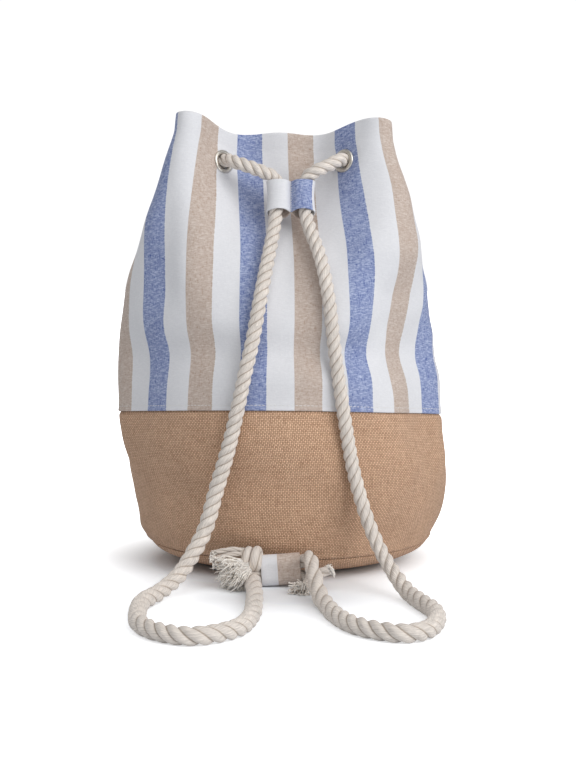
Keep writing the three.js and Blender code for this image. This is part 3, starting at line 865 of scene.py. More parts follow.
def shared_group(name):
    """Shader group by name, built at its first use."""
    makers = {
        "Plain Weave": plain_weave_group,
        "Yarn Slubs": yarn_slub_group,
        "Soft Soiling": soiling_group,
        "Cotton Fibres": fibre_group,
    }
    return bpy.data.node_groups.get(name) or makers[name]()


def titled(values):
    """Values under the names of a node's sockets."""
    return {key.replace("_", " ").title(): value for key, value in values.items()}


def placed_group(tree, name, **inputs):
    """One of the shared groups placed in a material, with its own values."""
    return add(tree, "ShaderNodeGroup", titled(inputs), node_tree=shared_group(name)).outputs


def new_material(name, **settings):
    """A material with an empty tree and its shader, set but not yet linked."""
    material = bpy.data.materials.new(name)
    material.use_nodes = True
    tree = material.node_tree
    tree.nodes.clear()
    shader = add(tree, "ShaderNodeBsdfPrincipled", titled(settings))
    output = add(tree, "ShaderNodeOutputMaterial")
    tree.links.new(shader.outputs[0], output.inputs["Surface"])
    return material, tree, shader


def cloth_places(tree):
    """Place round and up the cloth, in metres."""
    node = add(tree, "ShaderNodeUVMap", uv_map="cloth")
    split = add(tree, "ShaderNodeSeparateXYZ", {0: node.outputs[0]})
    return split.outputs[0], split.outputs[1]


def finish_material(tree, shader, base, height, strength, distance, roughness=None):
    """Colour, bump and roughness linked to the shader."""
    bump = add(tree, "ShaderNodeBump", {"Height": height, "Strength": strength, "Distance": distance})
    tree.links.new(base, shader.inputs["Base Color"])
    tree.links.new(bump.outputs[0], shader.inputs["Normal"])
    if roughness is not None:
        tree.links.new(roughness, shader.inputs["Roughness"])


def stripe_ramp(tree, share, beige, white, blue):
    """Colour of a stripe by its place in the repeat of four."""
    ramp = add(tree, "ShaderNodeValToRGB", {0: share})
    ramp.color_ramp.interpolation = "CONSTANT"
    ramp.color_ramp.elements.remove(ramp.color_ramp.elements[1])
    ramp.color_ramp.elements[0].color = tint(beige)
    for place, value in ((0.25, white), (0.5, blue), (0.75, white)):
        ramp.color_ramp.elements.new(place).color = tint(value)
    return ramp.outputs[0]


def shaded(tree, base, shade):
    """Colour made darker or lighter by a share."""
    grey = add(tree, "ShaderNodeCombineColor", {0: shade, 1: shade, 2: shade}).outputs[0]
    return blended(tree, 1.0, base, grey, "MULTIPLY")


def made_once(build):
    """Maker of a material, which is built under its maker's name at its first use."""
    return lambda: bpy.data.materials.get(build.__name__) or build()


@made_once
def striped_canvas():
    """Yarn-dyed canvas: blue, white and beige stripes with pale slubs across them."""
    sizes, colours = bpy.context.scene.backpack_sizes, bpy.context.scene.backpack_colours
    material, tree, shader = new_material("striped_canvas", roughness=0.9, sheen_weight=0.12)
    u, v = cloth_places(tree)
    pitch = sizes.canvas_yarn
    weave = placed_group(tree, "Plain Weave", u=u, v=v, pitch_u=pitch, pitch_v=pitch)
    slubs = placed_group(tree, "Yarn Slubs", u=u, v=v, pitch=0.85 * pitch, length=0.0038)
    soil = placed_group(tree, "Soft Soiling", scale=14)
    first_beige = FIRST_BEIGE * MM - sizes.stripe_width / 2
    wander = calc(tree, "MULTIPLY_ADD", slubs["Weft"], 0.0005, u)
    repeat = calc(tree, "DIVIDE", calc(tree, "SUBTRACT", wander, first_beige), 4 * sizes.stripe_width)
    share = calc(tree, "FRACT", calc(tree, "ADD", repeat, 10))
    deep = stripe_ramp(tree, share, colours.beige, colours.white, colours.blue)
    pale = stripe_ramp(tree, share, colours.beige_weft, colours.white_weft, colours.blue_weft)
    pale_share = ranged(tree, slubs["Weft"], 0.35, 0.95, 0.28, 0.74)
    mixed = calc(tree, "SUBTRACT", pale_share, ranged(tree, slubs["Warp"], 0.5, 0.9, 0, 0.26))
    cloth = blended(tree, ranged(tree, mixed, 0, 1), deep, pale)
    shade = ranged(tree, soil["Tone"], 0, 1, 0.97, 1.0)
    # Painted shade: the low points of the weave are made a little darker than the raised yarns
    thread = ranged(tree, weave["Height"], 0, 1, 0.94, 1.02)
    base = shaded(tree, cloth, calc(tree, "MULTIPLY", shade, thread))
    height = calc(tree, "MULTIPLY_ADD", slubs["Weft"], 0.6, weave["Height"])
    finish_material(tree, shader, base, height, 0.35, 0.0003)
    return material


@made_once
def jute_cloth():
    """Coarse jute: a plain weave of uneven tan yarns, with painted shade in the gaps between them and a
    painted highlight on their raised tops.
    """
    sizes, colours = bpy.context.scene.backpack_sizes, bpy.context.scene.backpack_colours
    material, tree, shader = new_material("jute_cloth", roughness=0.88, sheen_weight=0.08)
    u, v = cloth_places(tree)
    pitch = sizes.jute_yarn
    slubs = placed_group(tree, "Yarn Slubs", u=u, v=v, pitch=pitch, length=0.016)
    weave = placed_group(tree, "Plain Weave", u=u, v=v, pitch_u=1.12 * pitch, pitch_v=1.2 * pitch)
    soil = placed_group(tree, "Soft Soiling", scale=22)
    uneven = placed_group(tree, "Soft Soiling", scale=420)
    by_yarn = {0: weave["Warp On Top"], 2: slubs["Weft"], 3: slubs["Warp"]}
    yarn_tone = add(tree, "ShaderNodeMix", by_yarn, data_type="FLOAT").outputs[0]
    # Painted light: the colour runs from the jute shade in the hollows of the weave to the jute colour on
    # the raised yarn tops, weaker where the weft lies on top; the yarn tone and unevenness are the jute's
    # own
    over = ranged(tree, weave["Warp On Top"], 0, 1, 0.5, 1.0)
    painted_yarn_light = calc(tree, "MULTIPLY", calc(tree, "POWER", weave["Height"], 1.6), over)
    painted_yarn_light = calc(tree, "MULTIPLY", painted_yarn_light, ranged(tree, uneven["Tone"], 0, 1, 0.6, 1.34))
    lit = calc(tree, "MULTIPLY_ADD", yarn_tone, 0.3, painted_yarn_light)
    colour_of = blended(tree, ranged(tree, lit, 0, 1.05), tint(colours.jute_shade), tint(colours.jute))
    base = shaded(tree, colour_of, ranged(tree, soil["Tone"], 0, 1, 0.92, 1.03))
    height = calc(tree, "MULTIPLY_ADD", yarn_tone, 0.35, weave["Height"])
    finish_material(tree, shader, base, height, 0.8, 0.0008)
    return material


@made_once
def cotton_rope():
    """Twisted cotton: pale strands with fine fibres, and painted shade in the grooves between them."""
    sizes, colours = bpy.context.scene.backpack_sizes, bpy.context.scene.backpack_colours
    material, tree, shader = new_material("cotton_rope", roughness=0.92, sheen_weight=0.15)
    u, v = cloth_places(tree)
    straight = calc(tree, "ADD", u, calc(tree, "DIVIDE", v, sizes.rope_lay * 1.25))
    fibres = placed_group(tree, "Cotton Fibres", u=straight, v=v, lines=26, length=0.012)
    soil = placed_group(tree, "Soft Soiling", scale=45)
    # Painted shade: a narrow band along each groove between the strands is darkened towards the rope shade
    place = calc(tree, "FRACT", calc(tree, "MULTIPLY_ADD", u, 3, 0.5))
    to_groove = calc(tree, "ABSOLUTE", calc(tree, "SUBTRACT", place, 0.5))
    crest = ranged(tree, to_groove, 0.485, 0.4)
    fibre_shade = ranged(tree, fibres["Tone"], 0, 1, 0.76, 1.1)
    shade = calc(tree, "MULTIPLY", fibre_shade, ranged(tree, soil["Tone"], 0, 1, 0.94, 1.02))
    strand = blended(tree, crest, tint(colours.rope_shade), tint(colours.rope))
    finish_material(tree, shader, shaded(tree, strand, shade), fibres["Height"], 0.7, 0.0009)
    return material


def fibrous(name, base, lines, length, tones, depth, **settings):
    """Cotton of one colour, with fibres along each yarn."""
    material, tree, shader = new_material(name, **settings)
    u, v = cloth_places(tree)
    fibres = placed_group(tree, "Cotton Fibres", u=u, v=v, lines=lines, length=length)
    shade = ranged(tree, fibres["Tone"], 0, 1, *tones)
    finish_material(tree, shader, shaded(tree, tint(base), shade), fibres["Height"], 0.4, depth)
    return material


@made_once
def loose_cotton():
    """Untwisted cotton yarn, each yarn with a tone of its own."""
    return fibrous(
        "loose_cotton", bpy.context.scene.backpack_colours.loose_yarn, 180, 0.004, (0.84, 1.08), 0.0003,
        roughness=0.95, sheen_weight=0.4, subsurface_weight=0.6, subsurface_scale=0.003,
        subsurface_radius=(1, 0.95, 0.9),
    )


@made_once
def sewing_thread():
    """Pale thread of the stitches."""
    return fibrous(
        "sewing_thread", bpy.context.scene.backpack_colours.thread, 900, 0.0015, (0.86, 1.0), 0.0002,
        roughness=0.7, sheen_weight=0.1,
    )


@made_once
def aged_metal():
    """Dull warm metal of the eyelets, with fine scratches and darker patches."""
    colours = bpy.context.scene.backpack_colours
    material, tree, shader = new_material("aged_metal", metallic=1.0)
    soil = placed_group(tree, "Soft Soiling", scale=420)
    place = add(tree, "ShaderNodeTexCoord").outputs["Object"]
    scratch = add(tree, "ShaderNodeTexNoise", {"Vector": place, "Scale": 2600, "Detail": 4}).outputs[0]
    dark = tint(tuple(0.8 * c for c in colours.metal))
    base = blended(tree, soil["Tone"], dark, tint(colours.metal))
    rough = ranged(tree, soil["Tone"], 0, 1, 0.46, 0.26)
    finish_material(tree, shader, base, scratch, 0.12, 0.0001, rough)
    return material


class BACKPACK_OT_stage(bpy.types.Operator):
    """Make the pale floor, the soft studio light and the camera"""

    bl_idname = "backpack.stage"
    bl_label = "Stage"

    def execute(self, context):
        self.floor(context)
        self.lights(context)
        self.camera(context)
        return {"FINISHED"}

    def floor(self, context):
        """Wide floor with a painted glow that only the camera sees: it washes out the floor's shadows, and
        is held back round the bag and under the loop, so the reach of the shadows there is partly painted.
        """
        half = FLOOR["half"]
        mesh = bpy.data.meshes.new("floor")
        corners = [(-half, -half, 0), (half, -half, 0), (half, half, 0), (-half, half, 0)]
        mesh.from_pydata(corners, [], [(0, 1, 2, 3)])
        colours = {"base_color": tint(FLOOR["colour"]), "emission_color": tint((1, 1, 1))}
        material, tree, shader = new_material("studio_floor", roughness=0.9, **colours)
        place = add(tree, "ShaderNodeTexCoord").outputs["Object"]
        from_middle, from_bag, from_loop = (
            add(tree, "ShaderNodeVectorMath", {0: place, 1: spot}, operation="DISTANCE").outputs["Value"]
            for spot in ((0, 0, 0), FLOOR["below_bag"], FLOOR["below_loop"])
        )
        depth = add(tree, "ShaderNodeSeparateXYZ", {0: place}).outputs[1]
        # Painted shadow: the glow is weaker in front of the bag and fades to nothing round a middle beside
        # the bag and under the loop, so the shadows show only there
        front = ranged(tree, depth, -0.2, -0.1, 0.45, 1)
        near = calc(tree, "MULTIPLY", ranged(tree, from_bag, 0.1, 0.19, 0, 0.95), front)
        near = calc(tree, "MULTIPLY", near, ranged(tree, from_loop, 0.025, 0.1))
        painted_glow = calc(tree, "ADD", near, ranged(tree, from_middle, 0.19, 1.2, 0, 0.75))
        seen = add(tree, "ShaderNodeLightPath").outputs["Is Camera Ray"]
        tree.links.new(calc(tree, "MULTIPLY", painted_glow, seen), shader.inputs["Emission Strength"])
        mesh.materials.append(material)
        floor = bpy.data.objects.new("floor", mesh)
        context.scene.collection.objects.link(floor)

    def lights(self, context):
        """White sky that lights less than it shows, and three wide lamps."""
        world = bpy.data.worlds.new("studio")
        context.scene.world = world
        world.use_nodes = True
        tree = world.node_tree
        tree.nodes.clear()
        seen = add(tree, "ShaderNodeBackground", {0: tint((1, 1, 1)), 1: SKY["seen"]})
        light = add(tree, "ShaderNodeBackground", {0: tint(SKY["colour"]), 1: SKY["light"]})
        straight = add(tree, "ShaderNodeLightPath").outputs["Is Camera Ray"]
        both = add(tree, "ShaderNodeMixShader", {0: straight, 1: light.outputs[0], 2: seen.outputs[0]})
        output = add(tree, "ShaderNodeOutputWorld")
        tree.links.new(both.outputs[0], output.inputs["Surface"])
        for name, place, size, power in LAMPS:
            lamp = bpy.data.lights.new(name, "AREA")
            lamp.size = size
            lamp.energy = power
            light = bpy.data.objects.new(name, lamp)
            light.location = place
            aim = Vector(LAMP_AIM) - Vector(place)
            light.rotation_euler = aim.to_track_quat("-Z", "Y").to_euler()
            context.scene.collection.objects.link(light)
        context.scene.view_settings.view_transform = "Standard"

    def camera(self, context):
        """Camera that looks straight at the front, shifted down so that upright lines stay upright."""
        lens = bpy.data.cameras.new("camera")
        lens.lens = CAMERA["lens"]
        lens.sensor_width = CAMERA["sensor"]
        lens.shift_y = CAMERA["shift"]
        camera = bpy.data.objects.new("camera", lens)
        camera.location = CAMERA["place"]
        camera.rotation_euler = (math.radians(90), 0, 0)
        context.scene.collection.objects.link(camera)
        context.scene.camera = camera


class BACKPACK_OT_keeper(bpy.types.Operator):
    """Make the cloth keeper that holds both strands at the front"""

    bl_idname = "backpack.keeper"
    bl_label = "Keeper"

    side_steps = 56
    rows = 24
    narrower_stripes = 0.72

    def execute(self, context):
        middle, wide, deep = CHANNEL["middle"], CHANNEL["wide"], CHANNEL["deep"]
        meet = math.acos(middle / wide)
        swing = np.linspace(meet - math.pi, math.pi - meet, self.side_steps)
        right = np.stack([middle + wide * np.cos(swing), deep * np.sin(swing)], 1)
        loop = np.vstack([right, -right[1:-1]])
        loop[:, 1] *= 1 - 0.5 * np.exp(-((loop[:, 0] / 2.4) ** 2))
        heights = np.linspace(-KEEPER["tall"] / 2, KEEPER["tall"] / 2, self.rows)
        x, z = np.meshgrid(loop[:, 0], heights)
        y = np.broadcast_to(loop[:, 1], x.shape)
        slack = 1 + 0.03 * np.sin(z / 7 + x / 9)
        pinch = 1 + 0.05 * (z / KEEPER["tall"] * 2) ** 2
        low = np.clip(-z / KEEPER["tall"] * 2, 0, 1) ** 2
        over = np.cos((np.abs(x) - middle) / wide * math.pi / 2)
        hang = np.where(y < 0, 1.4 * over, -3.2 * np.maximum(0, y / deep)) * low
        sheet = keeper_place(x * pinch / 1.05, y * slack, z + hang)
        normals = outward(sheet)
        rows = shell(sheet, normals, KEEPER["thick"])
        index, spots = closed_faces(len(rows), len(loop))
        run = closed_run(loop)
        height = shell_values(heights)
        column = spots[..., 1]
        on_right = spots[:, :1, 1] < self.side_steps - 1
        on_left = self.narrower_stripes * (run[column] - run[-1])
        u = stripe_place(1.5) + np.where(on_right, run[column], on_left)
        uv = np.stack([u, height[spots[..., 0]] + KEEPER["on_cloth"]], -1) * MM
        piece = make_piece("keeper_cloth", (rows.reshape(-1, 3), index, uv), striped_canvas())
        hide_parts("keeper")
        self.sew(sheet, normals)
        return {"FINISHED"}

    def sew(self, sheet, normals):
        """Row of stitches down the middle of the front."""
        line = evenly(sheet[1:-1, 1], KEEPER_STITCH["step"])
        out = np.broadcast_to(normals[len(normals) // 2, 1], line.shape)
        aims = unit(np.gradient(line, axis=0))
        sewn = stitches(line, aims, out, KEEPER_STITCH["length"], KEEPER_STITCH["radius"])
        make_piece("keeper_stitches", joined(sewn), sewing_thread())


class BACKPACK_OT_knots(bpy.types.Operator):
    """Make the two knotted and frayed rope ends beside the loop"""

    bl_idname = "backpack.knots"
    bl_label = "Knots"

    step = 1.1
    around = 30

    def execute(self, context):
        for side, knot in KNOTS.items():
            parts = [self.wrap(*turn) for turn in knot["turns"]]
            parts += [self.strand(*strand) for strand in knot["strands"]]
            turns = make_piece(f"{side}_knot_turns", joined(parts), cotton_rope())
            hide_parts(f"knot_{side}")
            parts = [part for bunch in knot["frayed"] for part in frayed(*bunch)]
            parts += [self.strand(*strand) for strand in knot["core"]]
            make_piece(f"{side}_frayed_yarns", joined(parts), loose_cotton())
        return {"FINISHED"}

    def wrap(self, middle, across, tall, turn, span, lay, radius, lean):
        """One turn of rope round the end it ties."""
        t = np.radians(np.linspace(turn, turn + span, 60))
        x = middle[0] + lean * (t - t.mean())
        line = np.stack([x, middle[1] - across * np.cos(t), middle[2] + tall * np.sin(t)], 1)
        return twisted_rope(evenly(line, self.step), radius, lay, self.around)

    def strand(self, places, radius, lay):
        """A cut strand of rope along given places."""
        line = evenly(catmull_rom(places, 12), self.step)
        return twisted_rope(line, radius, lay, self.around)


class BACKPACK_OT_rope(bpy.types.Operator):
    """Make the twisted rope that draws the mouth and forms both straps"""

    bl_idname = "backpack.rope"
    bl_label = "Rope"

    def execute(self, context):
        sizes = context.scene.backpack_sizes
        line = rope_route()
        radius = sizes.rope_diameter / 2 / MM * self.fullness(line)
        line[:, 2] = np.maximum(line[:, 2], radius + 0.15)
        run = run_along(line)
        to_end = np.minimum(run, run[-1] - run)
        lay = sizes.rope_lay / MM * np.interp(to_end, *zip(*ROPE_LOOSER))
        shape = joined([twisted_rope(line, radius, lay)])
        rope = make_piece("twisted_rope", shape, cotton_rope())
        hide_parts("rope")
        return {"FINISHED"}

    def fullness(self, line):
        """Share of the thickness along the rope: squeezed in the loop, fuller where it lies loose."""
        x, y, z = line.T
        loose = ROPE_FULL["on_floor"] * eased(-y, 160, 210)
        low = ROPE_FULL["left_low"] * (1 - eased(z, 85, 150))
        left = np.where((x < -5) & (y < -120), ROPE_FULL["left"] + low, 0)
        in_loop = (1 - eased(np.abs(x - (TAB["left"] + TAB["right"]) / 2), 11, 15.5)) * (y > -150) * (z < 30)
        share = ROPE_FULL["usual"] + np.maximum(loose, left) + ROPE_FULL["in_loop"] * in_loop
        blend = ROPE_FULL["blend"]
        return np.convolve(np.pad(share, blend // 2, mode="edge"), np.full(blend, 1 / blend), mode="valid")


class BACKPACK_OT_canvas(bpy.types.Operator):
    """Make the striped canvas with its folds, hem and eyelet holes"""

    bl_idname = "backpack.canvas"
    bl_label = "Canvas"

    hem = {"up": 247.5, "thicker": 0.8, "raised": 0.12}
    seam = {"raised": 0.5, "sunk": 0.4, "width": 1.1}

    def execute(self, context):
        thick = context.scene.backpack_sizes.canvas_thickness / MM
        ups = self.heights()
        sheet = self.surface(ups)
        doubled = thick + self.hem["thicker"] * eased(ups, self.hem["up"] - 1.5, self.hem["up"] + 1)
        normals = outward(sheet)
        rows = shell(sheet, normals, doubled)
        index, spots = closed_faces(len(rows), CANVAS_COLUMNS)
        index, spots, rows = self.pierced(ups, rows, index, spots)
        up = shell_values(ups, 0.5)
        u = spots[..., 1] * CANVAS_ROUND / CANVAS_COLUMNS
        uv = np.stack([u, up[spots[..., 0]]], -1) * MM
        piece = make_piece("canvas_body", (rows.reshape(-1, 3), index, uv), striped_canvas())
        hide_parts("upper_body")
        self.sew(context, ups, sheet, normals)
        return {"FINISHED"}

    def heights(self):
        """Heights up the cloth, closer together at the seam and the hem."""
        seam, wall = np.arange(0, 10, 1.25), np.arange(10, 243, 3.0)
        return np.concatenate([seam, wall, np.linspace(243, CANVAS_TALL, 21)])

    def surface(self, ups):
        """Outside of the canvas with its unevenness, flat where an eyelet is pressed in."""
        sheet = canvas_sheet(ups, CANVAS_COLUMNS)
        around = np.arange(CANVAS_COLUMNS) * CANVAS_ROUND / CANVAS_COLUMNS
        a, b = np.meshgrid(around, ups)
        lift = sum(ripple(a, b, *waves) for waves in CANVAS_RIPPLES) * eased(b, 2, 30)
        lift += self.hem["raised"] * eased(b, self.hem["up"] - 2, self.hem["up"] + 2)
        sewn = np.exp(-(((b - SEAM_STITCH["up"]) / self.seam["width"]) ** 2))
        lift += self.seam["raised"] * (1 - eased(b, 3, 7)) - self.seam["sunk"] * sewn
        sheet = sheet + outward(sheet) * lift[..., None]
        for seat in eyelet_seats():
            far = np.hypot(round_from(a, seat["around"]), b - EYELET["up"])
            off = (sheet - seat["middle"]) @ seat["out"]
            sheet = sheet - (off * (1 - eased(far, 11, 20)))[..., None] * seat["out"]
        return sheet

    def pierced(self, ups, rows, index, spots):
        """Faces without those in the eyelet holes, whose edges are drawn round and joined through."""
        columns, outer = CANVAS_COLUMNS, len(ups)
        inner_of = 2 * outer + EDGE_ROWS - 1
        pitch = CANVAS_ROUND / columns
        row, column = spots[:, 0].T
        on_outside = row < outer - 1
        on_inside = (row >= outer + EDGE_ROWS) & (row < inner_of)
        level = np.where(on_outside, row, inner_of - 1 - row)
        middle_up = (ups[np.clip(level, 0, outer - 1)] + ups[np.clip(level + 1, 0, outer - 1)]) / 2
        gone = np.zeros(len(index), bool)
        rims, rim_spots = [], []
        moved = rows.copy()
        for k in range(EYELET["count"]):
            centre = CANVAS_SLID + (k + 0.5) * CANVAS_ROUND / EYELET["count"]
            far = np.hypot((column + 0.5) * pitch - centre, middle_up - EYELET["up"])
            hit = (far < EYELET["hole"]) & (on_outside | on_inside)
            gone |= hit
            cells = {(int(row[f]), int(column[f])) for f in np.nonzero(hit & on_outside)[0]}
            for r, c in sorted(cells):
                ring = [(r, c), (r, c + 1), (r + 1, c + 1), (r + 1, c)]
                beside = [(r - 1, c), (r, c + 1), (r + 1, c), (r, c - 1)]
                for n, neighbour in enumerate(beside):
                    if neighbour in cells:
                        continue
                    a, b = ring[n], ring[(n + 1) % 4]
                    quad = [a, b, (inner_of - b[0], b[1]), (inner_of - a[0], a[1])]
                    rims.append([q[0] * columns + q[1] % columns for q in quad])
                    rim_spots.append(quad)
                    for spot in (a, b):
                        self.draw_round(ups, rows, moved, spot, centre, pitch, inner_of)
        index = np.vstack([index[~gone], np.array(rims)])
        spots = np.concatenate([spots[~gone], np.array(rim_spots)])
        return index, spots, moved

    def draw_round(self, ups, rows, moved, spot, centre, pitch, inner_of):
        """Moves one corner of a hole's edge onto the circle, on the outside and the inside."""
        r, c = spot
        away = np.array((c * pitch - centre, ups[r] - EYELET["up"]))
        around, up = away / np.linalg.norm(away) * EYELET["hole"] + (centre, EYELET["up"])
        count = len(ups)
        moved[r, c % CANVAS_COLUMNS] = sheet_point(rows[:count], ups, around, up)
        inside = rows[count + EDGE_ROWS : 2 * count + EDGE_ROWS][::-1]
        moved[inner_of - r, c % CANVAS_COLUMNS] = sheet_point(inside, ups, around, up)

    def sew(self, context, ups, sheet, normals):
        """Row of stitches along the seam."""
        length = context.scene.backpack_sizes.stitch_length / MM
        row = int(np.argmin(np.abs(ups - SEAM_STITCH["up"])))
        ring = np.vstack([sheet[row], sheet[row][:1]])
        out = np.vstack([normals[row], normals[row][:1]])
        run = run_along(ring)
        places = np.arange(0, run[-1] - length / 2, length)
        spots, outs = at_places(places, run, ring), unit(at_places(places, run, out))
        aims = unit(np.roll(spots, -1, 0) - np.roll(spots, 1, 0))
        sewn = stitches(spots, aims, outs, length * SEAM_STITCH["share"], SEAM_STITCH["radius"])
        make_piece("canvas_stitches", joined(sewn), sewing_thread())


class BACKPACK_OT_jute(bpy.types.Operator):
    """Make the jute wall and the round base"""

    bl_idname = "backpack.jute"
    bl_label = "Jute Bottom"

    tuck = 5.0
    waves_tall = 135
    weave_tall = 140
    base_columns = 192
    bead = {"up": 2.2, "width": 1.6, "raised": 0.9}
    below_canvas = 1.9

    def execute(self, context):
        self.wall(context)
        self.base()
        return {"FINISHED"}

    def wall(self, context):
        """Uneven wall from the base seam to the canvas, with a strip tucked inside the canvas."""
        columns = CANVAS_COLUMNS
        low, wall = np.linspace(0, 0.12, 13)[:-1], np.linspace(0.12, 0.94, 50)[:-1]
        shares = np.concatenate([low, wall, np.linspace(0.94, 1, 9)])
        angle = angles(columns)
        top = seam_height(angle) - GAP / 2
        a, s = np.meshgrid(angle, shares)
        radius = smooth(JUTE_SHARE, JUTE_RADIUS, s)
        shift = smooth(JUTE_SHARE, JUTE_SHIFT, s)
        around = a / (2 * math.pi) * CANVAS_ROUND
        up = s * self.waves_tall
        lift = sum(ripple(around, up, *waves) for waves in JUTE_RIPPLES)
        lift *= eased(s, 0.03, 0.2) * (1 - eased(s, 0.85, 0.99))
        lift += self.bead["raised"] * np.exp(-(((up - self.bead["up"]) / self.bead["width"]) ** 2))
        lift -= self.below_canvas * eased(s, 0.965, 1)
        radius = radius + lift
        z = JUTE_SEAM + 0.15 + (top[None, :] - JUTE_SEAM) * s
        sheet = np.dstack([shift + radius * np.sin(a), -radius * np.cos(a), z])
        circle = CANVAS_ROUND / (2 * math.pi) * np.stack([np.sin(angle), -np.cos(angle)], 1)
        corners = canvas_level(0, columns) - circle - (CANVAS_SHIFT, 0)
        sheet[..., :2] += corners * eased(s, 0.3, 1)[..., None]
        tucked = np.linspace(1, self.tuck, 4)
        sheet = np.concatenate([sheet, sheet[-1:] + np.array((0, 0, 1.0)) * tucked[:, None, None]])
        rows = shell(sheet, outward(sheet), context.scene.backpack_sizes.jute_thickness / MM)
        index, spots = closed_faces(len(rows), columns)
        tall = shell_values(np.concatenate([shares * self.weave_tall, self.weave_tall + tucked]))
        u = spots[..., 1] * CANVAS_ROUND / columns
        uv = np.stack([u, tall[spots[..., 0]]], -1) * MM
        piece = make_piece("jute_wall", (rows.reshape(-1, 3), index, uv), jute_cloth())
        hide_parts("lower_body")

    def base(self):
        """Round base like a shallow dish, with its weave straight across."""
        columns = self.base_columns
        outline = np.array(BASE_PROFILE + BASE_INSIDE, float)
        run = run_along(outline)
        places = np.unique(np.concatenate([run, np.linspace(0, run[-1], 90)]))
        profile = softened(at_places(places, run, outline), 3)
        rings = profile[1:-1]
        r, a = np.meshgrid(rings[:, 0], angles(columns), indexing="ij")
        z = np.broadcast_to(rings[:, 1:2], r.shape)
        rings = np.dstack([JUTE_SHIFT[0] + r * np.sin(a), -r * np.cos(a), z])
        tips = [(JUTE_SHIFT[0], 0, profile[end, 1]) for end in (0, -1)]
        walk = run_along(profile)[1:-1]
        walk = np.minimum(walk, walk[-1] - walk + 12)

        def place(ring, column):
            turn = 2 * math.pi * column / columns
            return walk[ring] * np.sin(turn) * MM, walk[ring] * np.cos(turn) * MM

        base = joined([tube(rings, place, (0, 0), (0, 0), tips)])
        piece = make_piece("jute_base", base, jute_cloth())
        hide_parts("base_panel")


class BACKPACK_OT_eyelets(bpy.types.Operator):
    """Make the pressed metal eyelets"""

    bl_idname = "backpack.eyelets"
    bl_label = "Eyelets"

    columns = 56
    crown = {"foot": 0.35, "tall": 1.35}

    def execute(self, context):
        thick = context.scene.backpack_sizes.canvas_thickness / MM
        profile = self.profile(thick)
        angle = angles(self.columns)
        index, _ = closed_faces(len(profile), self.columns)
        for i, seat in enumerate(eyelet_seats(), 1):
            side = unit(np.cross(seat["out"], (0, 0, 1.0)))
            over = np.cross(seat["out"], side)
            across = np.cos(angle)[:, None] * side + np.sin(angle)[:, None] * over
            rings = seat["middle"] + profile[:, :1, None] * across[None] + profile[:, 1:, None] * seat["out"]
            shape = (rings.reshape(-1, 3), index[:, ::-1], None)
            piece = make_piece(f"eyelet_ring_{i}", shape, aged_metal())
            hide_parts(f"eyelet_{i}")
        return {"FINISHED"}

    def profile(self, thick):
        """Section of an eyelet: a rounded flange outside, the barrel, and a flat washer inside."""
        bore, flange = EYELET["bore"], EYELET["flange"]
        swing = np.radians(np.linspace(180, 0, 13))
        middle, half = (bore + flange) / 2, (flange - bore) / 2
        raised = self.crown["foot"] + self.crown["tall"] * np.sin(swing)
        front = np.stack([middle + half * np.cos(swing), raised], 1)
        under = np.array(((flange - 0.2, 0.1), (EYELET["barrel"] + 0.4, 0.1), (EYELET["barrel"], -0.1)))
        washer = np.array(((0, -0.3), (1.9, -0.3), (2.4, -0.7), (1.9, -1.1), (-0.9, -1.1), (-1.2, -0.8)))
        washer = washer + (EYELET["barrel"], -thick)
        return np.vstack([front, under, washer])


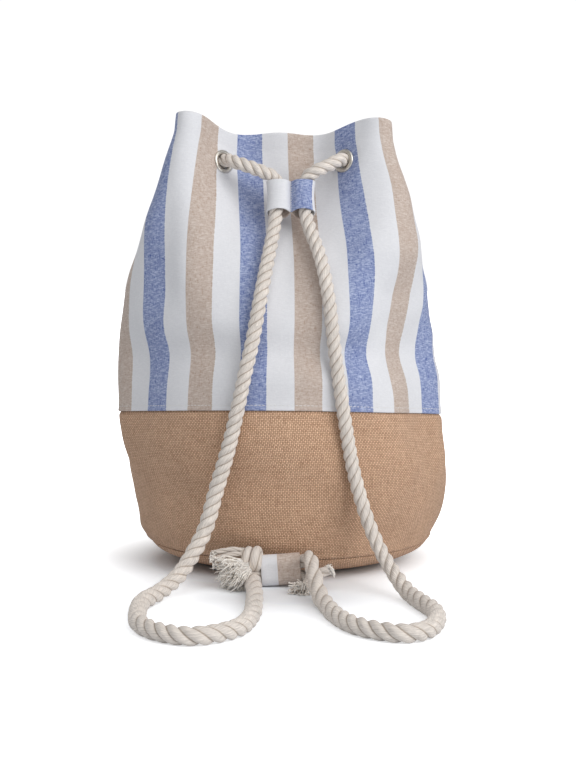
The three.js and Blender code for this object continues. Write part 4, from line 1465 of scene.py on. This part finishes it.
class BACKPACK_OT_loop(bpy.types.Operator):
    """Make the striped cloth loop at the base that holds the rope ends"""

    bl_idname = "backpack.loop"
    bl_label = "Base Loop"

    def execute(self, context):
        radius = (TAB["back"] - TAB["front"]) / 2
        middle = (TAB["back"] + TAB["front"]) / 2
        head, foot = TAB["head"] - radius, TAB["foot"] + radius
        arc = np.radians(np.linspace(0, 180, 25))
        straight = np.linspace(head, foot, 12)[1:-1]
        upper = np.stack([middle + radius * np.cos(arc), head + radius * np.sin(arc)], 1)
        front = np.stack([np.full(len(straight), TAB["front"]), straight], 1)
        lower = np.stack([middle - radius * np.cos(arc), foot - radius * np.sin(arc)], 1)
        back = np.stack([np.full(len(straight), TAB["back"]), straight[::-1]], 1)
        ring = np.vstack([upper, front, lower, back])
        xs = np.linspace(TAB["left"], TAB["right"], 22)
        y, x = np.meshgrid(ring[:, 0], xs)
        z = np.broadcast_to(ring[:, 1], x.shape)
        slack = 0.25 * np.sin(x / 4.2 + z / 6)
        tilt = math.radians(TAB["tilt"])
        off_x, off_z = x - (TAB["left"] + TAB["right"]) / 2, z - (head + foot) / 2
        turned_x = x - off_x + off_x * math.cos(tilt) - off_z * math.sin(tilt)
        turned_z = z - off_z + off_x * math.sin(tilt) + off_z * math.cos(tilt)
        sheet = np.dstack([turned_x, y + slack, np.maximum(turned_z, 0.25)])
        rows = shell(sheet, outward(sheet), TAB["thick"])
        index, spots = closed_faces(len(rows), len(ring))
        run = closed_run(ring)
        border = stripe_place(3.5) + TAB["beside_stripe"]
        u = border + shell_values(xs)[spots[..., 0]]
        uv = np.stack([u, run[spots[..., 1]] + TAB["on_cloth"]], -1) * MM
        shape = joined([(rows.reshape(-1, 3), index, uv), self.tongue(border)])
        piece = make_piece("loop_cloth", shape, striped_canvas())
        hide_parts("rope_tab")
        return {"FINISHED"}

    def tongue(self, border):
        """Strip of cloth from the back of the loop into the base seam."""
        near, far, foot, head = TAB["back"] - 0.4, TONGUE["end"], TONGUE["foot"], TONGUE["head"]
        middle = (near + far) / 2
        section = [(y, foot) for y in (near, middle, far)] + [(y, head) for y in (far, middle, near)]
        xs = np.linspace(TAB["left"] + 0.6, TAB["right"] - 0.6, 12)
        rings = np.array([[(x, *corner) for corner in section] for x in xs])

        def place(row, column):
            return (border + xs[row]) * MM, (TONGUE["on_cloth"] + 3 * column) * MM

        return tube(rings, place, (0.1, 0.05), (0.1, 0.05))


class BACKPACK_PT_pieces(bpy.types.Panel):
    """Sizes, colours and pieces of the backpack"""

    bl_idname = "BACKPACK_PT_pieces"
    bl_label = "Beach Backpack"
    bl_space_type = "VIEW_3D"
    bl_region_type = "UI"
    bl_category = "Backpack"

    def draw(self, context):
        for group in (context.scene.backpack_sizes, context.scene.backpack_colours):
            for name in group.__annotations__:
                self.layout.prop(group, name)
        for maker in MAKERS:
            self.layout.operator(maker.bl_idname)


MAKERS = (
    BACKPACK_OT_stage,
    BACKPACK_OT_knots,
    BACKPACK_OT_keeper,
    BACKPACK_OT_rope,
    BACKPACK_OT_canvas,
    BACKPACK_OT_jute,
    BACKPACK_OT_eyelets,
    BACKPACK_OT_loop,
)
CLASSES = (BackpackSizes, BackpackColours, *MAKERS, BACKPACK_PT_pieces)


def register():
    for kind in CLASSES:
        bpy.utils.register_class(kind)
    bpy.types.Scene.backpack_sizes = PointerProperty(type=BackpackSizes)
    bpy.types.Scene.backpack_colours = PointerProperty(type=BackpackColours)


def unregister():
    del bpy.types.Scene.backpack_colours
    del bpy.types.Scene.backpack_sizes
    for kind in reversed(CLASSES):
        bpy.utils.unregister_class(kind)


def main():
    register()
    for maker in MAKERS:
        family, name = maker.bl_idname.split(".")
        getattr(getattr(bpy.ops, family), name)()


if __name__ == "__main__":
    main()
